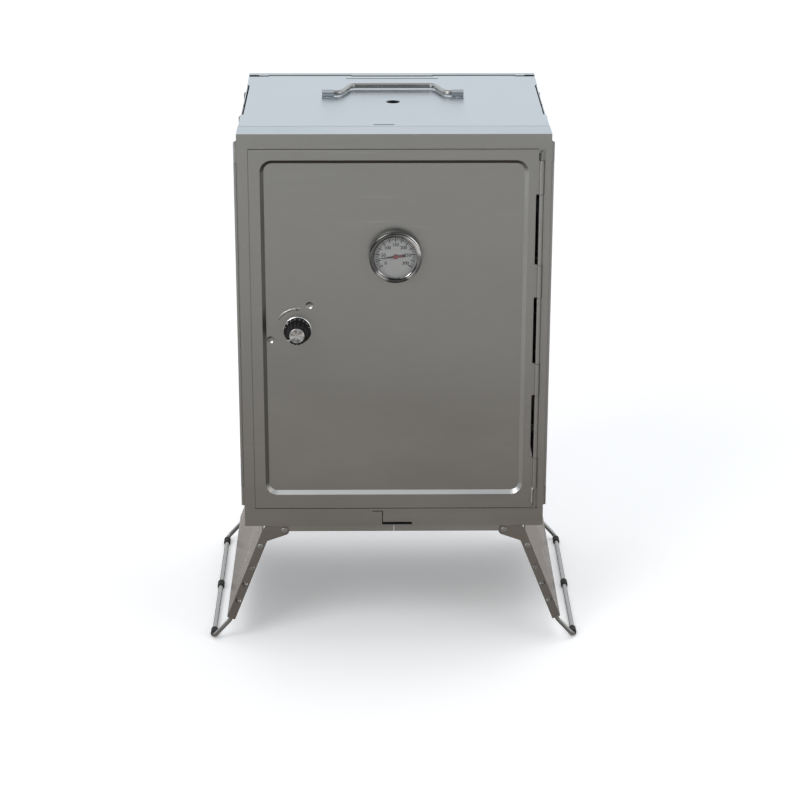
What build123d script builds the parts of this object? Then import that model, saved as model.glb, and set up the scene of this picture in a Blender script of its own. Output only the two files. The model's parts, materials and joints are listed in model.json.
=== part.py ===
"""Folding camp oven: a sheet steel oven that stands on folding legs.

The body is two shallow trays, front and back, joined by side walls that are each split in
two and hinged, so the walls fold inwards and the back comes forward to the front.
X points right, Y points back, Z points up. The origin is on the ground, under the middle.
All sizes are in millimetres.
"""
from build123d import *
from math import cos, hypot, radians, sin
import os

os.makedirs("parts", exist_ok=True)

# ---------------------------------------------------------------- body
body_width = 330.0          # over the front tray
body_depth = 290.0          # front face to back face
body_height = 445.0         # underside to top plate
stand_height = 143.0        # ground to the underside of the body
sheet = 1.0                 # gauge of every panel
front_tray_depth = 24.0     # side and bottom flanges of the front tray
front_top_flange = 34.0     # top flange of the front tray
lip_depth = 8.0             # joggled lip behind that flange, which carries the top plate
lip_lap = 4.0               # how far the lip laps under the flange
lip_gap = 0.2               # between the lip and the top plate
back_tray_depth = 29.4      # side and bottom flanges of the back tray
back_lift = 0.3             # back tray above the base plate that it slides on
flush_gap = 0.3             # between faces that lie together on different pieces
wall_bottom_gap = 1.8       # side walls above the underside of the body
wall_top_gap = 3.5          # side walls below the top of the body
knob_reach = 16.0           # how far the knob stands out of the front face

# rolled hinges of the body
barrel_radius = 2.5
pin_radius = 1.2
pin_clearance = 0.05        # running fit of a pin in its barrels
open_pivot_clearance = 0.15  # looser fit where the linkage closes on itself
barrel_gap = 0.1            # between a barrel and the plane of its sheet
swing_clearance = 1.0       # room for a sheet to swing past its neighbour's edge
knuckle_gap = 0.5           # between neighbouring knuckles
knuckle_height = 22.0       # short knuckles at the ends of a wall hinge
wall_hinge_inset = 12.0     # from the wall's ends to its outer knuckles
pin_overhang = 1.0          # pin beyond its outer knuckles
top_hinge_inner = 47.0      # the top plate's two knuckles, from the middle
top_hinge_margin = 23.0     # from there to the body's side
top_hinge_outer = body_width / 2 - top_hinge_margin

# door
stile_width = 11.4          # front face beside the opening, on the left
rail_height = 15.8          # front face above the opening
opening_left = stile_width - body_width / 2
opening_bottom = 20.6       # above the underside of the body
opening_top = body_height - rail_height
door_gap = 0.8
door_hinge_inset = 10.0     # hinge axis from the body's right side
door_hinge_x = body_width / 2 - door_hinge_inset
edge_slot = 2.4             # clearance cut in the door's edge beside each knuckle of the frame
door_hinge_proud = 1.2      # hinge axis in front of the front face
door_hinge_gap = 0.7        # between the door barrel and the edges beside it
leaf_knuckle_half = 18.0    # half of a knuckle of the door
leaf_knuckle_places = (0.104, 0.372, 0.645, 0.924)  # up the opening
ledge_setback = 1.7         # door stop ledge, behind the front face
ledge_overlap = 5.0
ledge_band = 3.0
recess_side_margin = 23.7   # from the body's sides
recess_low_margin = 16.9    # from the opening
recess_high_margin = 12.4
recess_half_width = body_width / 2 - recess_side_margin
recess_bottom = opening_bottom + recess_low_margin
recess_top = opening_top - recess_high_margin
recess_radius = 13.0
recess_depth = 4.0
recess_wall = 1.4           # sloping wall of the recess, across
recess_fillet = 0.8
stand_notch_width = 40.0    # notch in the lower rail, and the tab that stands in it
stand_notch_height = 4.5
stand_tab_width = 10.6
stand_tab_height = 17.0
stand_tab_x = -18.4
stand_slit = 0.9            # slit along the top and the right of that tab

# latch
latch_inset = 61.0          # from the body's left side
latch_x = latch_inset - body_width / 2
latch_z = 228.0
shaft_radius = 3.0
shaft_clearance = 0.1
latch_arm_length = 52.0
latch_arm_width = 12.0
latch_arm_sheet = 1.5
latch_open_angle = 85.0     # of the arm, seen from the front, from +X
latch_swing = 95.0          # from open to latched
dimple_radius = 4.0
dimple_depth = 2.0
dimple_distance = 31.0
collar_radius = 15.4
collar_height = 1.4
skirt_radius = 14.7
skirt_height = 3.0
knob_radius = 12.0
knob_taper = 6.0
flute_radius = 1.5
flute_count = 16
knob_cap_radius = 8.2
knob_cap_height = 1.2
washer_height = 0.9
nut_width = 10.0            # across flats
nut_height = 3.5
strike_width = 14.0
strike_height = 24.0

# thermometer
gauge_x = 1.5
gauge_z = 312.0
bezel_radius = 28.0
bezel_inner = 23.3
bezel_height = 3.6
case_radius = 26.0
case_depth = 9.0
case_wall = 1.2
dial_radius = 24.6
dial_height = 0.6
glass_height = 1.0
needle_height = 0.5
needle_angle = 187.0        # of the tip, seen from the front, from +X
needle_length = 19.0
needle_tail = 10.0
needle_hub = 2.6
arbor_radius = 0.8
neck_radius = 4.5
stem_radius = 3.0
stem_length = 45.0          # behind the door
stem_nut_width = 16.0
stem_nut_height = 4.0

# top plate and handle
top_plate_inset = 0.5       # top plate inside the body's width, each side
seam = 0.8                  # between the top plate and the front tray
back_top_flange = 9.5       # top flange of the back tray
vent_radius = 7.5
vent_y = 145.6              # behind the front face, like the next six
long_slot_inset = 29.0      # in front of the back face, like the next one
rear_tab_inset = 69.0
long_slot_y = body_depth - long_slot_inset
short_slot_y = 41.0
tab_places = (93.6, body_depth - rear_tab_inset)
handle_y = 171.0
grip_y = 207.0
long_slot_length = 106.0
slot_width = 3.0
short_slot_length = 23.0
short_slot_x = -10.5
tab_notch_depth = 3.0
tab_notch_length = 14.0
tab_length = 10.0
tab_drop = 5.0
handle_wire = 3.0
handle_bend = 8.0
lug_inner = 65.5
lug_outer = 78.5
lug_sheet = 1.0
lug_foot = 11.0
lug_rivet_radius = 2.2
lug_rivet_height = 0.9
elbow_half = 58.0
grip_half = 47.0

# rails, racks and drip tray
rail_first = 60.0
rail_pitch = 70.0
rail_count = 5
rail_width = 8.0
rail_upstand = 7.0
rail_end_gap = 12.0
rack_wire = 2.0
rack_bar = 1.25
rack_side_gap = 2.0
rack_length = 225.0
rack_corner = 10.0
rack_bars = 19
drip_rim = 4.0
drip_sheet = 0.8
drip_corner = 8.0
stow_gap = 0.5              # between the racks and tray, stowed in the back tray
clip_sheet = 1.2
clip_width = 18.0
clip_x = 70.0
clip_lip = 8.0
clip_back = 20.0

# stand
base_side_inset = 37.0      # base plates inside the body's sides
base_half_width = body_width / 2 - base_side_inset
base_flange = 8.5
base_inset = 4.6            # base flanges behind the front face, and in front of the back
base_seam = 0.2             # half the gap between the two base plates
burner_opening = 55.0       # radius
ring_band = 6.0
ring_sheet = 1.2
plate_clearance = 0.4
flame_slots = 12
flame_slot_width = 6.0
flame_slot_inner = 18.0
flame_slot_outer = 45.0
leg_pivot_inset = 43.0      # inside the body's sides, like the crown and the elbow
leg_pivot_x = body_width / 2 - leg_pivot_inset
leg_pivot_drop = 7.0        # below the underside of the body, like the next four
leg_ear_radius = 6.0
leg_crown_inset = 22.0
leg_elbow_inset = 18.5
leg_splay = 23.0            # end of the leg outside the body's sides
leg_reach = 112.9           # and below its underside
leg_crown = (body_width / 2 - leg_crown_inset, -1.6)
leg_elbow = (body_width / 2 - leg_elbow_inset, -7.5)
leg_end = (body_width / 2 + leg_splay, -leg_reach)
leg_pin_radius = 2.0
leg_pin_head = 3.8
leg_sheet = 1.2
leg_inset = 3.0             # leg flanges behind the front face, and in front of the back
leg_flange = 9.5
hole_clearance = 0.4
leg_hole_first = 45.7       # along the leg from its elbow
leg_hole_pitch = 22.0
leg_hole_count = 3
leg_rivet_place = 18.8
leg_rivet_radius = 3.5
foot_splay = 39.0           # wire feet outside the body's sides
foot_x = body_width / 2 + foot_splay
foot_wire = 2.5
foot_hook_bend = 3.0
foot_knee_bend = 12.0
foot_bend = 6.0
foot_run_out = 4.0          # straight wire beyond the end of the leg
foot_tip_radius = 4.0
foot_tip_flat = 0.4
foot_tip_length = 12.0

# ---------------------------------------------------------------- places worked out
front_y = -(body_depth - knob_reach) / 2
back_y = front_y + body_depth
middle_y = (front_y + back_y) / 2
body_z = stand_height
top_z = body_z + body_height
side_x = body_width / 2
bore_radius = pin_radius + pin_clearance
web = barrel_radius - pin_radius - pin_clearance
barrel_offset = barrel_radius + barrel_gap
sheet_notch = barrel_offset + sheet + swing_clearance
hinge_x = side_x + barrel_offset
front_hinge_y = front_y + front_tray_depth + sheet_notch
back_hinge_y = back_y - back_tray_depth - sheet_notch
middle_hinge_y = (front_hinge_y + back_hinge_y) / 2
wall_bottom = body_z + wall_bottom_gap
wall_top = top_z - wall_top_gap
top_hinge_y = back_y - back_top_flange - sheet_notch
top_hinge_z = top_z - sheet - barrel_offset
door_hinge_y = front_y - door_hinge_proud
recess_floor_y = front_y + recess_depth
door_back_y = recess_floor_y + sheet


def front_plane(y):
    """A plane seen from the front, X right and Z up. A negative extrusion goes back."""
    return Plane((0, y, 0), x_dir=(1, 0, 0), z_dir=(0, -1, 0))


def round_bar(plane, radius, length):
    """A plain round bar that starts at a plane and runs along its normal."""
    with BuildPart() as bar:
        with BuildSketch(plane):
            Circle(radius)
        extrude(amount=length)
    return bar.part


def stepped_bar(y, x, z, steps):
    """A turned piece along Y: each step is a radius and a length, from front to back."""
    with BuildPart() as turned:
        for radius, length in steps:
            with BuildSketch(Plane((x, y, z), x_dir=(1, 0, 0), z_dir=(0, 1, 0))):
                Circle(radius)
            extrude(amount=length)
            y += length
    return turned.part


def save(part, label):
    part.label = label
    export_step(part, f"parts/{label}.step")


def save_pair(part, label):
    """Writes a piece of the right side, and its mirror image for the left."""
    save(mirror(part, about=Plane.YZ), f"left_{label}")
    save(part, f"right_{label}")


# ---------------------------------------------------------------- hinge knuckles
def knuckle(plane, side, length, bore=bore_radius):
    """A rolled knuckle: its barrel, and the sheet that leads to it.

    The plane's X points from the hinge axis to the sheet, and side says on which side of
    that line the sheet lies.
    """
    reach = sheet_notch + sheet
    near = barrel_radius - web
    with BuildPart() as rolled:
        with BuildSketch(plane):
            with Locations(((near + reach) / 2, side * (barrel_offset + sheet / 2))):
                Rectangle(reach - near, sheet)
            with Locations((barrel_radius - web / 2, side * (barrel_offset + sheet) / 2)):
                Rectangle(web, barrel_offset + sheet)
            Circle(barrel_radius)
            Circle(bore, mode=Mode.SUBTRACT)
        extrude(amount=length)
    return rolled.part


def wall_zones(outer):
    """Heights of a wall hinge's knuckles: the short outer two, or the long one between."""
    low = wall_bottom + wall_hinge_inset
    high = wall_top - wall_hinge_inset
    if outer:
        return [(low, low + knuckle_height), (high - knuckle_height, high)]
    return [(low + knuckle_height + knuckle_gap, high - knuckle_height - knuckle_gap)]


def wall_knuckles(axis_y, toward, outer, bore=bore_radius):
    """Knuckles on the right side's hinge line at axis_y, on the sheet that lies toward +Y or -Y."""
    rolled = []
    for low, high in wall_zones(outer):
        plane = Plane((hinge_x, axis_y, low), x_dir=(0, toward, 0), z_dir=(0, 0, 1))
        rolled.append(knuckle(plane, toward, high - low, bore))
    return rolled


def wall_pin(axis_y, radius=pin_radius):
    """The pin of a wall hinge."""
    low = wall_zones(True)[0][0] - pin_overhang
    high = wall_zones(True)[1][1] + pin_overhang
    return round_bar(Plane((hinge_x, axis_y, low)), radius, high - low)


def top_knuckles(toward, zones):
    """Knuckles of the top plate's hinge, under the sheet that lies toward +Y or -Y."""
    rolled = []
    for low, high in zones:
        plane = Plane((low, top_hinge_y, top_hinge_z), x_dir=(0, toward, 0), z_dir=(1, 0, 0))
        rolled.append(knuckle(plane, toward, high - low))
    return rolled


def door_knuckle(toward, low, high):
    """A knuckle on the door's hinge line, on the sheet that lies toward +X or -X."""
    reach = barrel_radius + door_hinge_gap + sheet
    near = pin_radius
    with BuildPart() as rolled:
        with BuildSketch(Plane((door_hinge_x, door_hinge_y, body_z + low))):
            with Locations((toward * (near + reach) / 2, door_hinge_proud + sheet / 2)):
                Rectangle(reach - near, sheet)
            Circle(barrel_radius)
            Circle(bore_radius, mode=Mode.SUBTRACT)
        extrude(amount=high - low)
    return rolled.part


# ---------------------------------------------------------------- front tray
door_edge_gap = barrel_radius + door_hinge_gap
opening_right = door_hinge_x + door_edge_gap
opening_width = opening_right - opening_left
opening_height = opening_top - opening_bottom
opening_centre = (
    (opening_left + opening_right) / 2,
    body_z + (opening_bottom + opening_top) / 2,
)
door_knuckles = [
    (place - leaf_knuckle_half, place + leaf_knuckle_half)
    for place in (opening_bottom + share * opening_height for share in leaf_knuckle_places)
]
frame_knuckles = [
    (below[1] + knuckle_gap, above[0] - knuckle_gap)
    for below, above in zip(door_knuckles, door_knuckles[1:])
]
tray_knuckles = wall_knuckles(front_hinge_y, -1, True)
frame_door_knuckles = [door_knuckle(1, low, high) for low, high in frame_knuckles]

with BuildPart() as front_frame:
    with BuildSketch(front_plane(front_y)):
        with Locations((0, body_z + body_height / 2)):
            Rectangle(body_width, body_height)
    extrude(amount=-front_tray_depth)
    with BuildSketch(front_plane(front_y + sheet)):
        with Locations((0, body_z + body_height / 2)):
            Rectangle(body_width - 2 * sheet, body_height - 2 * sheet)
    extrude(amount=-front_tray_depth, mode=Mode.SUBTRACT)
    # deeper top flange, and the joggled lip behind it
    flange_end = front_y + front_top_flange
    with BuildSketch(Plane.YZ):
        with BuildLine():
            Polyline(
                (front_y, top_z),
                (flange_end, top_z),
                (flange_end, top_z - sheet - lip_gap),
                (flange_end + lip_depth, top_z - sheet - lip_gap),
                (flange_end + lip_depth, top_z - 2 * sheet - lip_gap),
                (flange_end - lip_lap, top_z - 2 * sheet - lip_gap),
                (flange_end - lip_lap, top_z - sheet),
                (front_y, top_z - sheet),
                close=True,
            )
        make_face()
    extrude(amount=side_x, both=True)
    # ledge that stops the door, joined to the face by a band round the opening
    for setback, inner_margin, depth in (
        (sheet, 0, ledge_setback),
        (ledge_setback, ledge_overlap, sheet),
    ):
        with BuildSketch(front_plane(front_y + setback)):
            with Locations(opening_centre):
                Rectangle(opening_width + 2 * ledge_band, opening_height + 2 * ledge_band)
                Rectangle(
                    opening_width - 2 * inner_margin,
                    opening_height - 2 * inner_margin,
                    mode=Mode.SUBTRACT,
                )
        extrude(amount=-depth)
    with BuildSketch(front_plane(front_y)):
        with Locations(opening_centre):
            Rectangle(opening_width, opening_height)
    extrude(amount=-sheet, mode=Mode.SUBTRACT)
    # notch in the lower rail, and the tab that stands in it
    with BuildSketch(front_plane(front_y)):
        with Locations((0, body_z + stand_notch_height / 2)):
            Rectangle(stand_notch_width, stand_notch_height)
    extrude(amount=-sheet, mode=Mode.SUBTRACT)
    with BuildSketch(front_plane(front_y)):
        with Locations((stand_tab_x, body_z + stand_tab_height / 2)):
            Rectangle(stand_tab_width, stand_tab_height)
    extrude(amount=-sheet)
    tab_right = stand_tab_x + stand_tab_width / 2
    tab_top = body_z + stand_tab_height
    with BuildSketch(front_plane(front_y)):
        with Locations((stand_tab_x + stand_slit / 2, tab_top + stand_slit / 2)):
            Rectangle(stand_tab_width + stand_slit, stand_slit)
        with Locations((tab_right + stand_slit / 2, body_z + stand_tab_height / 2)):
            Rectangle(stand_slit, stand_tab_height)
    extrude(amount=-sheet, mode=Mode.SUBTRACT)
    add(tray_knuckles)
    mirror(tray_knuckles, about=Plane.YZ)
    add(frame_door_knuckles)
save(front_frame.part, "front_frame")

# strike behind the left side of the opening, where the latch arm bears
strike_y = front_y + ledge_setback + sheet
arm_y = door_back_y + washer_height
with BuildPart() as latch_strike:
    with BuildSketch(front_plane(strike_y)):
        with Locations((opening_left - ledge_band + strike_width / 2, body_z + latch_z)):
            Rectangle(strike_width, strike_height)
    extrude(amount=-(arm_y - flush_gap - strike_y))
    chamfer(latch_strike.edges().group_by(Axis.Y)[-1].sort_by(Axis.Z)[-1], length=1.0)
save(latch_strike.part, "latch_strike")

door_pin_low = body_z + opening_bottom - pin_overhang
door_pin_high = body_z + opening_top - ledge_band
save(
    round_bar(Plane((door_hinge_x, door_hinge_y, door_pin_low)), pin_radius, door_pin_high - door_pin_low),
    "door_hinge_pin",
)

# ---------------------------------------------------------------- door
door_left = opening_left + door_gap
door_right = door_hinge_x - door_edge_gap
door_bottom = body_z + opening_bottom + door_gap
door_top = body_z + opening_top - door_gap
recess_height = recess_top - recess_bottom
recess_z = body_z + (recess_top + recess_bottom) / 2
latch_height = body_z + latch_z
gauge_height = body_z + gauge_z
dimple_angles = (
    latch_open_angle - 20.5,
    latch_open_angle + latch_swing + 20.5,
)
dimples = [
    (
        latch_x + dimple_distance * cos(radians(angle)),
        latch_height + dimple_distance * sin(radians(angle)),
    )
    for angle in dimple_angles
]
leaf_knuckles = [door_knuckle(-1, low, high) for low, high in door_knuckles]

with BuildPart() as door:
    with BuildSketch(front_plane(front_y)):
        with Locations(((door_left + door_right) / 2, (door_bottom + door_top) / 2)):
            Rectangle(door_right - door_left, door_top - door_bottom)
    extrude(amount=-sheet)
    with BuildSketch(front_plane(front_y + sheet)):
        with Locations((0, recess_z)):
            RectangleRounded(
                2 * (recess_half_width - sheet + recess_wall),
                recess_height + 2 * (recess_wall - sheet),
                recess_radius,
            )
    extrude(amount=-recess_depth, taper=45)
    with BuildSketch(front_plane(front_y)):
        with Locations((0, recess_z)):
            RectangleRounded(2 * recess_half_width, recess_height, recess_radius)
    extrude(amount=-recess_depth, taper=45, mode=Mode.SUBTRACT)
    lip_edges = door.faces().filter_by(Axis.Y).sort_by(Axis.Y)[0].inner_wires().edges()
    fillet(lip_edges, radius=recess_fillet)
    # two dimples pressed inwards, which stop the latch arm
    for x, z in dimples:
        with BuildSketch(front_plane(door_back_y)):
            with Locations((x, z)):
                Circle(dimple_radius + sheet / 2)
        extrude(amount=-dimple_depth, taper=20)
    for x, z in dimples:
        with BuildSketch(front_plane(recess_floor_y)):
            with Locations((x, z)):
                Circle(dimple_radius)
        extrude(amount=-dimple_depth, taper=20, mode=Mode.SUBTRACT)
    with BuildSketch(front_plane(recess_floor_y)):
        with Locations((latch_x, latch_height)):
            Circle(shaft_radius + shaft_clearance)
        with Locations((gauge_x, gauge_height)):
            Circle(neck_radius + shaft_clearance)
    extrude(amount=-sheet, mode=Mode.SUBTRACT)
    # slots in the edge, where the knuckles of the frame turn past it
    with BuildSketch(front_plane(front_y)):
        for low, high in frame_knuckles:
            with Locations((door_right, body_z + (low + high) / 2)):
                Rectangle(2 * edge_slot, high - low)
    extrude(amount=-sheet, mode=Mode.SUBTRACT)
    add(leaf_knuckles)
save(door.part, "door")

# ---------------------------------------------------------------- latch
knob_back_y = recess_floor_y - collar_height - flush_gap
knob_front_y = front_y - knob_reach + knob_cap_height

with BuildPart() as latch_collar:
    with BuildSketch(front_plane(recess_floor_y)):
        with Locations((latch_x, latch_height)):
            Circle(collar_radius)
            Circle(shaft_radius + shaft_clearance, mode=Mode.SUBTRACT)
    extrude(amount=collar_height)
    chamfer(latch_collar.edges().group_by(Axis.Y)[0].sort_by(SortBy.RADIUS)[-1], length=0.6)
save(latch_collar.part, "latch_collar")

knob_plane = Plane((latch_x, knob_back_y, latch_height), x_dir=(1, 0, 0), z_dir=(0, -1, 0))
grip_height = knob_back_y - skirt_height - knob_front_y
with BuildPart() as knob:
    with BuildSketch(knob_plane):
        Circle(skirt_radius)
    extrude(amount=skirt_height, taper=12)
    with BuildSketch(knob_plane.offset(skirt_height)):
        Circle(knob_radius)
    extrude(amount=grip_height, taper=knob_taper)
    with BuildSketch(knob_plane.offset(skirt_height)):
        with PolarLocations(knob_radius, flute_count):
            Circle(flute_radius)
    extrude(amount=grip_height, mode=Mode.SUBTRACT)
    with BuildSketch(knob_plane):
        Circle(shaft_radius)
    extrude(amount=skirt_height + grip_height / 2, mode=Mode.SUBTRACT)
save(knob.part, "knob")

with BuildPart() as knob_cap:
    with BuildSketch(front_plane(knob_front_y)):
        with Locations((latch_x, latch_height)):
            Circle(knob_cap_radius)
    extrude(amount=knob_cap_height)
    chamfer(knob_cap.edges().group_by(Axis.Y)[0], length=0.5)
save(knob_cap.part, "knob_cap")

nut_back_y = arm_y + latch_arm_sheet + nut_height
shaft_start_y = knob_back_y - skirt_height - grip_height / 2
save(
    stepped_bar(shaft_start_y, latch_x, latch_height, [(shaft_radius, nut_back_y + 1 - shaft_start_y)]),
    "latch_shaft",
)

with BuildPart() as latch_washer:
    with BuildSketch(front_plane(door_back_y)):
        with Locations((latch_x, latch_height)):
            Circle(2 * shaft_radius)
            Circle(shaft_radius + shaft_clearance, mode=Mode.SUBTRACT)
    extrude(amount=-washer_height)
save(latch_washer.part, "latch_washer")

arm_angle = radians(latch_open_angle)
arm_plane = Plane(
    (latch_x, arm_y, latch_height),
    x_dir=(cos(arm_angle), 0, sin(arm_angle)),
    z_dir=(0, -1, 0),
)
with BuildPart() as latch_arm:
    with BuildSketch(arm_plane):
        with Locations((latch_arm_length / 2 - latch_arm_width / 4, 0)):
            SlotOverall(latch_arm_length + latch_arm_width / 2, latch_arm_width)
        Circle(shaft_radius, mode=Mode.SUBTRACT)
    extrude(amount=-latch_arm_sheet)
save(latch_arm.part, "latch_arm")


def hex_nut(x, y, z, width, height, bore):
    """A hexagonal nut against a face at y, on its back."""
    with BuildPart() as nut:
        with BuildSketch(front_plane(y)):
            with Locations((x, z)):
                RegularPolygon(width / 2, 6, major_radius=False)
                Circle(bore, mode=Mode.SUBTRACT)
        extrude(amount=-height)
    return nut.part


save(
    hex_nut(latch_x, arm_y + latch_arm_sheet, latch_height, nut_width, nut_height, shaft_radius),
    "latch_nut",
)

# ---------------------------------------------------------------- thermometer
case_front_y = recess_floor_y - case_depth
dial_y = case_front_y + bezel_height + glass_height
with BuildPart() as gauge_case:
    with BuildSketch(front_plane(recess_floor_y)):
        with Locations((gauge_x, gauge_height)):
            Circle(case_radius)
    extrude(amount=case_depth)
    with BuildSketch(front_plane(recess_floor_y - case_wall)):
        with Locations((gauge_x, gauge_height)):
            Circle(case_radius - case_wall)
    extrude(amount=case_depth, mode=Mode.SUBTRACT)
    with BuildSketch(front_plane(recess_floor_y)):
        with Locations((gauge_x, gauge_height)):
            Circle(neck_radius)
    extrude(amount=-(sheet + stem_nut_height + 1))
save(gauge_case.part, "gauge_case")

with BuildPart() as gauge_bezel:
    with BuildSketch(front_plane(case_front_y)):
        with Locations((gauge_x, gauge_height)):
            Circle(bezel_radius)
            Circle(bezel_inner, mode=Mode.SUBTRACT)
    extrude(amount=bezel_height / 2)
    with BuildSketch(front_plane(case_front_y)):
        with Locations((gauge_x, gauge_height)):
            Circle(bezel_radius)
            Circle(case_radius, mode=Mode.SUBTRACT)
    extrude(amount=-bezel_height / 2)
    chamfer(gauge_bezel.edges().group_by(Axis.Y)[0], length=1.0)
save(gauge_bezel.part, "gauge_bezel")

with BuildPart() as gauge_glass:
    with BuildSketch(front_plane(case_front_y)):
        with Locations((gauge_x, gauge_height)):
            Circle(case_radius - case_wall)
    extrude(amount=-glass_height)
save(gauge_glass.part, "gauge_glass")

with BuildPart() as gauge_dial:
    with BuildSketch(front_plane(dial_y)):
        with Locations((gauge_x, gauge_height)):
            Circle(dial_radius)
            Circle(arbor_radius + shaft_clearance, mode=Mode.SUBTRACT)
    extrude(amount=-dial_height)
save(gauge_dial.part, "gauge_dial")

tip = radians(needle_angle)
needle_y = dial_y - needle_height
needle_plane = Plane(
    (gauge_x, needle_y, gauge_height), x_dir=(cos(tip), 0, sin(tip)), z_dir=(0, -1, 0)
)
with BuildPart() as gauge_needle:
    with BuildSketch(needle_plane):
        with BuildLine():
            Polyline(
                (needle_length, 0),
                (0, 1.2),
                (-needle_tail, 1.6),
                (-needle_tail, -1.6),
                (0, -1.2),
                close=True,
            )
        make_face()
        Circle(needle_hub)
    extrude(amount=needle_height)
    with BuildSketch(needle_plane):
        Circle(arbor_radius)
    extrude(amount=-(needle_height + dial_height + 1))
save(gauge_needle.part, "gauge_needle")

with BuildPart() as gauge_stem:
    with BuildSketch(front_plane(door_back_y + stem_nut_height + 1)):
        with Locations((gauge_x, gauge_height)):
            Circle(stem_radius)
    extrude(amount=-(stem_length - stem_nut_height - 1))
    chamfer(gauge_stem.edges().group_by(Axis.Y)[-1], length=1.5)
save(gauge_stem.part, "gauge_stem")
save(
    hex_nut(gauge_x, door_back_y, gauge_height, stem_nut_width, stem_nut_height, neck_radius),
    "gauge_nut",
)

# ---------------------------------------------------------------- side walls
wall_middle_z = (wall_bottom + wall_top) / 2


def wall_half(near_y, far_y, near_outer, far_outer, far_bore):
    """Half a side wall between two hinge lines, with its knuckles. Made on the right."""
    rolled = wall_knuckles(near_y, 1, near_outer) + wall_knuckles(far_y, -1, far_outer, far_bore)
    with BuildPart() as panel:
        with BuildSketch(Plane((side_x, 0, 0), x_dir=(0, 1, 0), z_dir=(1, 0, 0))):
            with Locations(((near_y + far_y) / 2, wall_middle_z)):
                Rectangle(far_y - near_y - 2 * sheet_notch, wall_top - wall_bottom)
        extrude(amount=-sheet)
        add(rolled)
    return panel.part


def wall_rails(near_y, far_y):
    """Angle rails on the inside of half a wall, which carry the racks in use."""
    with BuildPart() as rails:
        for index in range(rail_count):
            rail_z = body_z + rail_first + index * rail_pitch
            inner_x = side_x - sheet
            with BuildSketch(Plane((0, far_y - rail_end_gap, 0), x_dir=(1, 0, 0), z_dir=(0, -1, 0))):
                with BuildLine():
                    Polyline(
                        (inner_x, rail_z),
                        (inner_x - rail_width, rail_z),
                        (inner_x - rail_width, rail_z - sheet),
                        (inner_x - sheet, rail_z - sheet),
                        (inner_x - sheet, rail_z - rail_upstand),
                        (inner_x, rail_z - rail_upstand),
                        close=True,
                    )
                make_face()
            extrude(amount=far_y - near_y - 2 * rail_end_gap)
    return rails.part


open_bore = pin_radius + open_pivot_clearance
save_pair(
    wall_half(front_hinge_y, middle_hinge_y, False, True, bore_radius), "front_wall"
)
save_pair(wall_rails(front_hinge_y, middle_hinge_y), "front_rails")
save(mirror(wall_half(middle_hinge_y, back_hinge_y, False, False, bore_radius), about=Plane.YZ), "left_rear_wall")
save(wall_half(middle_hinge_y, back_hinge_y, False, False, open_bore), "right_rear_wall")
save_pair(wall_rails(middle_hinge_y, back_hinge_y), "rear_rails")
save_pair(wall_pin(front_hinge_y), "front_pin")
save_pair(wall_pin(middle_hinge_y), "middle_pin")
save_pair(wall_pin(back_hinge_y), "back_pin")

# ---------------------------------------------------------------- back tray
back_bottom = body_z + back_lift
shoulder_z = top_z - sheet - flush_gap
back_flange_y = back_y - back_top_flange
back_knuckles = wall_knuckles(back_hinge_y, 1, True)
top_plate_zones = [
    (-top_hinge_outer, -top_hinge_inner),
    (top_hinge_inner, top_hinge_outer),
]
back_zones = [
    (-side_x + wall_hinge_inset, -top_hinge_outer - knuckle_gap),
    (-top_hinge_inner + knuckle_gap, top_hinge_inner - knuckle_gap),
    (top_hinge_outer + knuckle_gap, side_x - wall_hinge_inset),
]
back_top_knuckles = top_knuckles(1, back_zones)

with BuildPart() as back_tray:
    with BuildSketch(front_plane(back_y)):
        with Locations((0, (back_bottom + top_z) / 2)):
            Rectangle(body_width, top_z - back_bottom)
    extrude(amount=back_tray_depth)
    with BuildSketch(front_plane(back_y - sheet)):
        with Locations((0, (back_bottom + top_z) / 2)):
            Rectangle(body_width - 2 * sheet, top_z - back_bottom - 2 * sheet)
    extrude(amount=back_tray_depth, mode=Mode.SUBTRACT)
    # in front of its narrow top flange the tray is open, and lower than the top plate
    with BuildSketch(Plane.YZ):
        with Locations((back_flange_y - back_tray_depth / 2, (shoulder_z + top_z) / 2 + sheet / 2)):
            Rectangle(back_tray_depth, top_z - shoulder_z + sheet)
    extrude(amount=body_width, both=True, mode=Mode.SUBTRACT)
    add(back_knuckles)
    mirror(back_knuckles, about=Plane.YZ)
    add(back_top_knuckles)
save(back_tray.part, "back_tray")
save(
    round_bar(
        Plane((-side_x + wall_hinge_inset - pin_overhang, top_hinge_y, top_hinge_z), z_dir=(1, 0, 0)),
        pin_radius,
        2 * (side_x - wall_hinge_inset + pin_overhang),
    ),
    "top_hinge_pin",
)

# ---------------------------------------------------------------- racks and drip tray, stowed
stow_floor = back_bottom + sheet + flush_gap
stow_middle_z = stow_floor + rack_length / 2
rack_half_width = side_x - sheet - rack_side_gap
drip_back_y = back_y - sheet - flush_gap
first_rack_y = drip_back_y - drip_rim - stow_gap - rack_wire
rack_ys = (first_rack_y, first_rack_y - 2 * rack_wire - stow_gap)


def wire_rack(y):
    """A wire rack, stood on edge: a rounded frame with bars across its short way."""
    plane = Plane((0, y, stow_middle_z), x_dir=(1, 0, 0), z_dir=(0, -1, 0))
    half_width = rack_half_width - rack_wire
    half_height = rack_length / 2 - rack_wire
    with BuildPart() as rack:
        with BuildLine(plane) as rim:
            FilletPolyline(
                (-half_width, -half_height),
                (half_width, -half_height),
                (half_width, half_height),
                (-half_width, half_height),
                radius=rack_corner,
                close=True,
            )
        with BuildSketch(Plane(rim.line @ 0, z_dir=rim.line % 0)):
            Circle(rack_wire)
        sweep(path=rim.line)
        with BuildSketch(Plane((0, y, stow_middle_z - half_height))):
            with GridLocations(2 * half_width / (rack_bars + 1), 1, rack_bars, 1):
                Circle(rack_bar)
        extrude(amount=2 * half_height)
    return rack.part


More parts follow.
